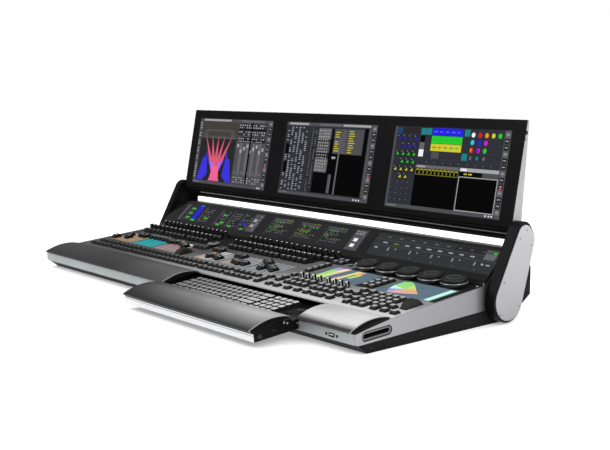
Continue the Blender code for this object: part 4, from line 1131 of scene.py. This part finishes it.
def make_rear_panel():
    """Sockets and vents on the rear housing, a generic set: the photo doesn't show this side."""
    made = Solid()
    face = shift(0, 513.0, 71.5) @ BACKWARD @ UPRIGHT
    made.add(slab(-560, 560, -25, 25, -0.4, 1.2, "black_satin", 0.4, 3.0), face)
    socket_looks = ["gloss"] * 5 + ["hole"] * 2
    ring = turned([(11.4, 1.0), (11.4, 3.4), (10.4, 4.0), (9.2, 4.0), (9.0, 1.6), (3.0, 1.6)], 32, socket_looks)
    pin = turned([(1.0, 1.4), (1.0, 3.0), (0.6, 3.3)], 8, "bright")
    for x in range(-500, -296, 34):
        place = face @ shift(-x, 0, 1.0)
        made.add(slab(-13, 13, -15.5, 15.5, 0, 1.2, "case", 0.3, 2.0), place)
        made.add(ring, place)
        for k in range(5):
            angle = math.radians(-60 + 75 * k)
            made.add(pin, place @ shift(5.4 * math.cos(angle), 5.4 * math.sin(angle), 0))
    inlet = [(14.0, 2.0), (14.0, 4.6), (13.0, 5.2), (11.6, 5.2), (11.2, 2.8), (4.0, 2.8)]
    made.add(turned(inlet, 36, socket_looks), face @ shift(-470, 0, 1.0))
    sockets = (  # the places along the panel, then each socket's nested plates by half width
        (range(-250, -130, 30), (10, -9, 9, 0, 2.4, "case", 0.3, 1.0), (6.8, -5.0, 6.0, 1.6, 2.9, "hole", 0.1, 0.6)),
        (
            range(-100, 32, 22), (8.4, -4.6, 4.6, 0, 1.8, "case", 0.3, 0.8),
            (6.4, -2.7, 2.7, 1.2, 2.1, "hole", 0.1, 0.3), (5.6, 0.0, 1.6, 1.4, 2.4, "port_blue", 0.1, 0.2),
        ),
        (range(80, 218, 46), (20, -7, 7, 0, 2.0, "case", 0.3, 1.0), (16, -4.2, 4.2, 1.2, 2.5, "port_blue", 0.2, 2.0)),
        ((470,), (26, -20, 20, 0, 2.2, "case", 0.4, 3.0)),
        ((400,), (14, -11, 11, 0, 2.0, "gloss", 0.4, 2.0), (10, -7, 7, 1.6, 4.2, "key_top", 1.0, 1.5)),
    )
    for places, *plates in sockets:
        for x in places:
            for half, *plate in plates:
                made.add(slab(-half, half, *plate), face @ shift(-x, 0, 1.0))
    for x in (-552, 552, -300, 40, 330):
        for y in (-19, 19):
            made.add(screw_head(1.9), face @ shift(-x, y, 1.0))
    made.piece("rear_sockets", "desk", DESK, "black_sheet")
    vents = Solid()
    lean = Matrix.Rotation(math.pi / 2 - math.atan2(33.0, 83.0), 4, "X")
    place = shift(0, 496.5, 142.5) @ BACKWARD @ lean
    vents.add(slab(-570, 570, -32, 32, -0.4, 0.9, "black_satin", 0.4, 4.0), place)
    for start in (-540, -300, -60, 180, 420):
        for x in range(start, start + 120, 10):
            for y in (-15, 15):
                vents.add(slab(x - 1.6, x + 1.6, y - 11, y + 11, 0.7, 1.05, "hole", 0.1, 1.4), place)
    vents.piece("rear_vents", "desk", DESK, "black_sheet")


def make_underside():
    """Feet pads let into the base's bottom and its cooling slots, with the processor's fins above it."""
    made = Solid()
    down = spin("X", 180)
    foot = turned([(17.0, -1.2), (17.0, 0.9), (16.0, 1.6), (10.0, 1.6), (9.0, 1.0), (3.0, 1.0)], 32, "rubber")
    for x in (-560, 0, 560):
        for d in (45, 395):
            made.add(foot, shift(x, d, 0.0) @ down)
    for x in range(-505, -305, 10):
        made.add(slab(-1.8, 1.8, -30, 30, -0.4, 0.3, "hole", 0.1, 1.6), shift(x, 200, 0.0) @ down)
    made.piece("base_feet", "desk", DESK, "black_sheet")
    fins = Solid()
    for x in range(-545, -259, 13):
        fins.add(slab(x - 0.8, x + 0.8, 150, 390, 43.6, 50.0, "case", 0.2))
    fins.piece("processor_fins", "desk", DESK, "unit_case")


# ---------------------------------------------------------------- CAD nodes that stay


def dress(node, look, width=None, segments=2, angle=40.0):
    """A better material on a CAD node, and softened edges where a width is given."""
    obj = NODES[node]
    obj.data.materials.clear()
    obj.data.materials.append(finish(look))
    if width:
        bevel = obj.modifiers.new("soft_edges", "BEVEL")
        bevel.width = width * MM
        bevel.segments = segments
        bevel.limit_method = "ANGLE"
        bevel.angle_limit = math.radians(angle)
        bevel.harden_normals = False
    obj.data.shade_smooth()
    obj.data.set_sharp_from_angle(angle=math.radians(32))
    return obj


def dress_nodes():
    looks = {
        "base_tray": ("black_sheet", 0.5), "front_rail": ("rail_silver", 0.5), "processor_unit": ("case", 1.5),
        "control_plate": ("deck_grey",), "letterbox_glass": ("glass", 0.5), "light_bar": ("bar", 1.0),
        "rear_housing": ("black_sheet", 0.8), "wing_shell": ("wing_black", 0.6), "wing_glass": ("wing_black", 0.5),
        "wing_hinge_tube": ("black_satin", 0.8), "drawer_tray": ("black_satin", 0.4),
    }
    for side in ("left", "right"):
        looks["side_panel_" + side] = ("silver_panel", 0.5)
        looks["shoulder_" + side] = ("black_satin", 5.0, 4, 60.0)
        looks["shoulder_cover_" + side] = ("cover_silver", 0.7, 2, 60.0)
    for node, values in looks.items():
        dress(node, *values)
    shell = NODES["wing_shell"].data
    shell.materials.append(finish("wing_silver"))
    for face in shell.polygons:
        face.material_index = 1 if abs(face.normal.x) > 0.9 or face.normal.y > 0.6 else 0


# ---------------------------------------------------------------- stage


def studio_world():
    """White behind the object, softer for diffuse light, and dim in reflections so that black stays black."""
    world = bpy.data.worlds.new("studio")
    world.use_nodes = True
    nodes, links = world.node_tree.nodes, world.node_tree.links
    rays = nodes.new("ShaderNodeLightPath")
    split = nodes.new("ShaderNodeSeparateXYZ")
    place = nodes.new("ShaderNodeTexCoord")
    links.new(place.outputs["Generated"], split.inputs[0])
    sky = spread(nodes, links, split.outputs[2], 0.10, 0.55, 0.0, 0.9)
    plain_light = nodes.new("ShaderNodeMix")
    links.new(rays.outputs["Is Glossy Ray"], plain_light.inputs[0])
    plain_light.inputs[2].default_value = 0.80
    links.new(sky, plain_light.inputs[3])
    seen = nodes.new("ShaderNodeMix")
    links.new(rays.outputs["Is Camera Ray"], seen.inputs[0])
    links.new(plain_light.outputs[0], seen.inputs[2])
    seen.inputs[3].default_value = 1.0
    links.new(seen.outputs[0], nodes["Background"].inputs["Strength"])
    nodes["Background"].inputs["Color"].default_value = (1.0, 1.0, 1.0, 1.0)
    return world


def make_stage():
    bpy.ops.mesh.primitive_plane_add(size=30)
    floor = bpy.context.object
    floor.name = "studio_floor"
    white = surface("floor_white", (0.90, 0.90, 0.90), 0.8, bump=0.0, vary=0.002, specular=0.0)
    shader = white.node_tree.nodes["Principled BSDF"]
    shader.inputs["Emission Color"].default_value = (1.0, 1.0, 1.0, 1.0)
    shader.inputs["Emission Strength"].default_value = 0.3
    floor.data.materials.append(white)
    bpy.context.scene.world = studio_world()
    lamps = (
        ((-1.2, -2.2, 2.6), (0.0, 0.0, 0.1), 2.2, 60.0),
        ((3.0, -0.6, 1.9), (0.3, 0.0, 0.1), 1.6, 35.0),
        ((0.4, 2.6, 2.4), (0.0, 0.0, 0.2), 2.0, 40.0),
    )
    for i, (place, aim, size, power) in enumerate(lamps):
        light = bpy.data.lights.new(f"softbox_{i}", "AREA")
        light.size = size
        light.energy = power
        lamp = bpy.data.objects.new(f"softbox_{i}", light)
        lamp.location = place
        lamp.rotation_mode = "QUATERNION"
        lamp.rotation_quaternion = (Vector(aim) - Vector(place)).to_track_quat("-Z", "Y")
        bpy.context.scene.collection.objects.link(lamp)


def make_camera():
    azimuth, elevation, roll = math.radians(49.16), math.radians(7.89), math.radians(-0.04)
    back = Vector(
        (math.sin(azimuth) * math.cos(elevation), -math.cos(azimuth) * math.cos(elevation), math.sin(elevation))
    )
    data = bpy.data.cameras.new("camera")
    data.lens = 58.98
    data.sensor_width = 36.0
    data.clip_start, data.clip_end = 0.05, 100.0
    camera = bpy.data.objects.new("camera", data)
    facing = (-back).to_track_quat("-Z", "Y").to_matrix().to_4x4()
    camera.matrix_world = Matrix.Translation((1.9140, -1.4893, 0.4945)) @ facing @ Matrix.Rotation(roll, 4, "Z")
    bpy.context.scene.collection.objects.link(camera)
    bpy.context.scene.camera = camera


for make in (
    make_surface_keys, make_knobs, make_faders, make_encoders, make_wheels, make_fader_lights, make_surface_trim,
    make_screens, make_rests, make_drawer_trim, make_keyboard, make_pocket_handles, make_screws, make_front_ports,
    make_wing_edges, make_wing_back, make_rear_panel, make_underside, dress_nodes, make_stage, make_camera,
):
    make()
bpy.context.scene.view_settings.view_transform = "Standard"
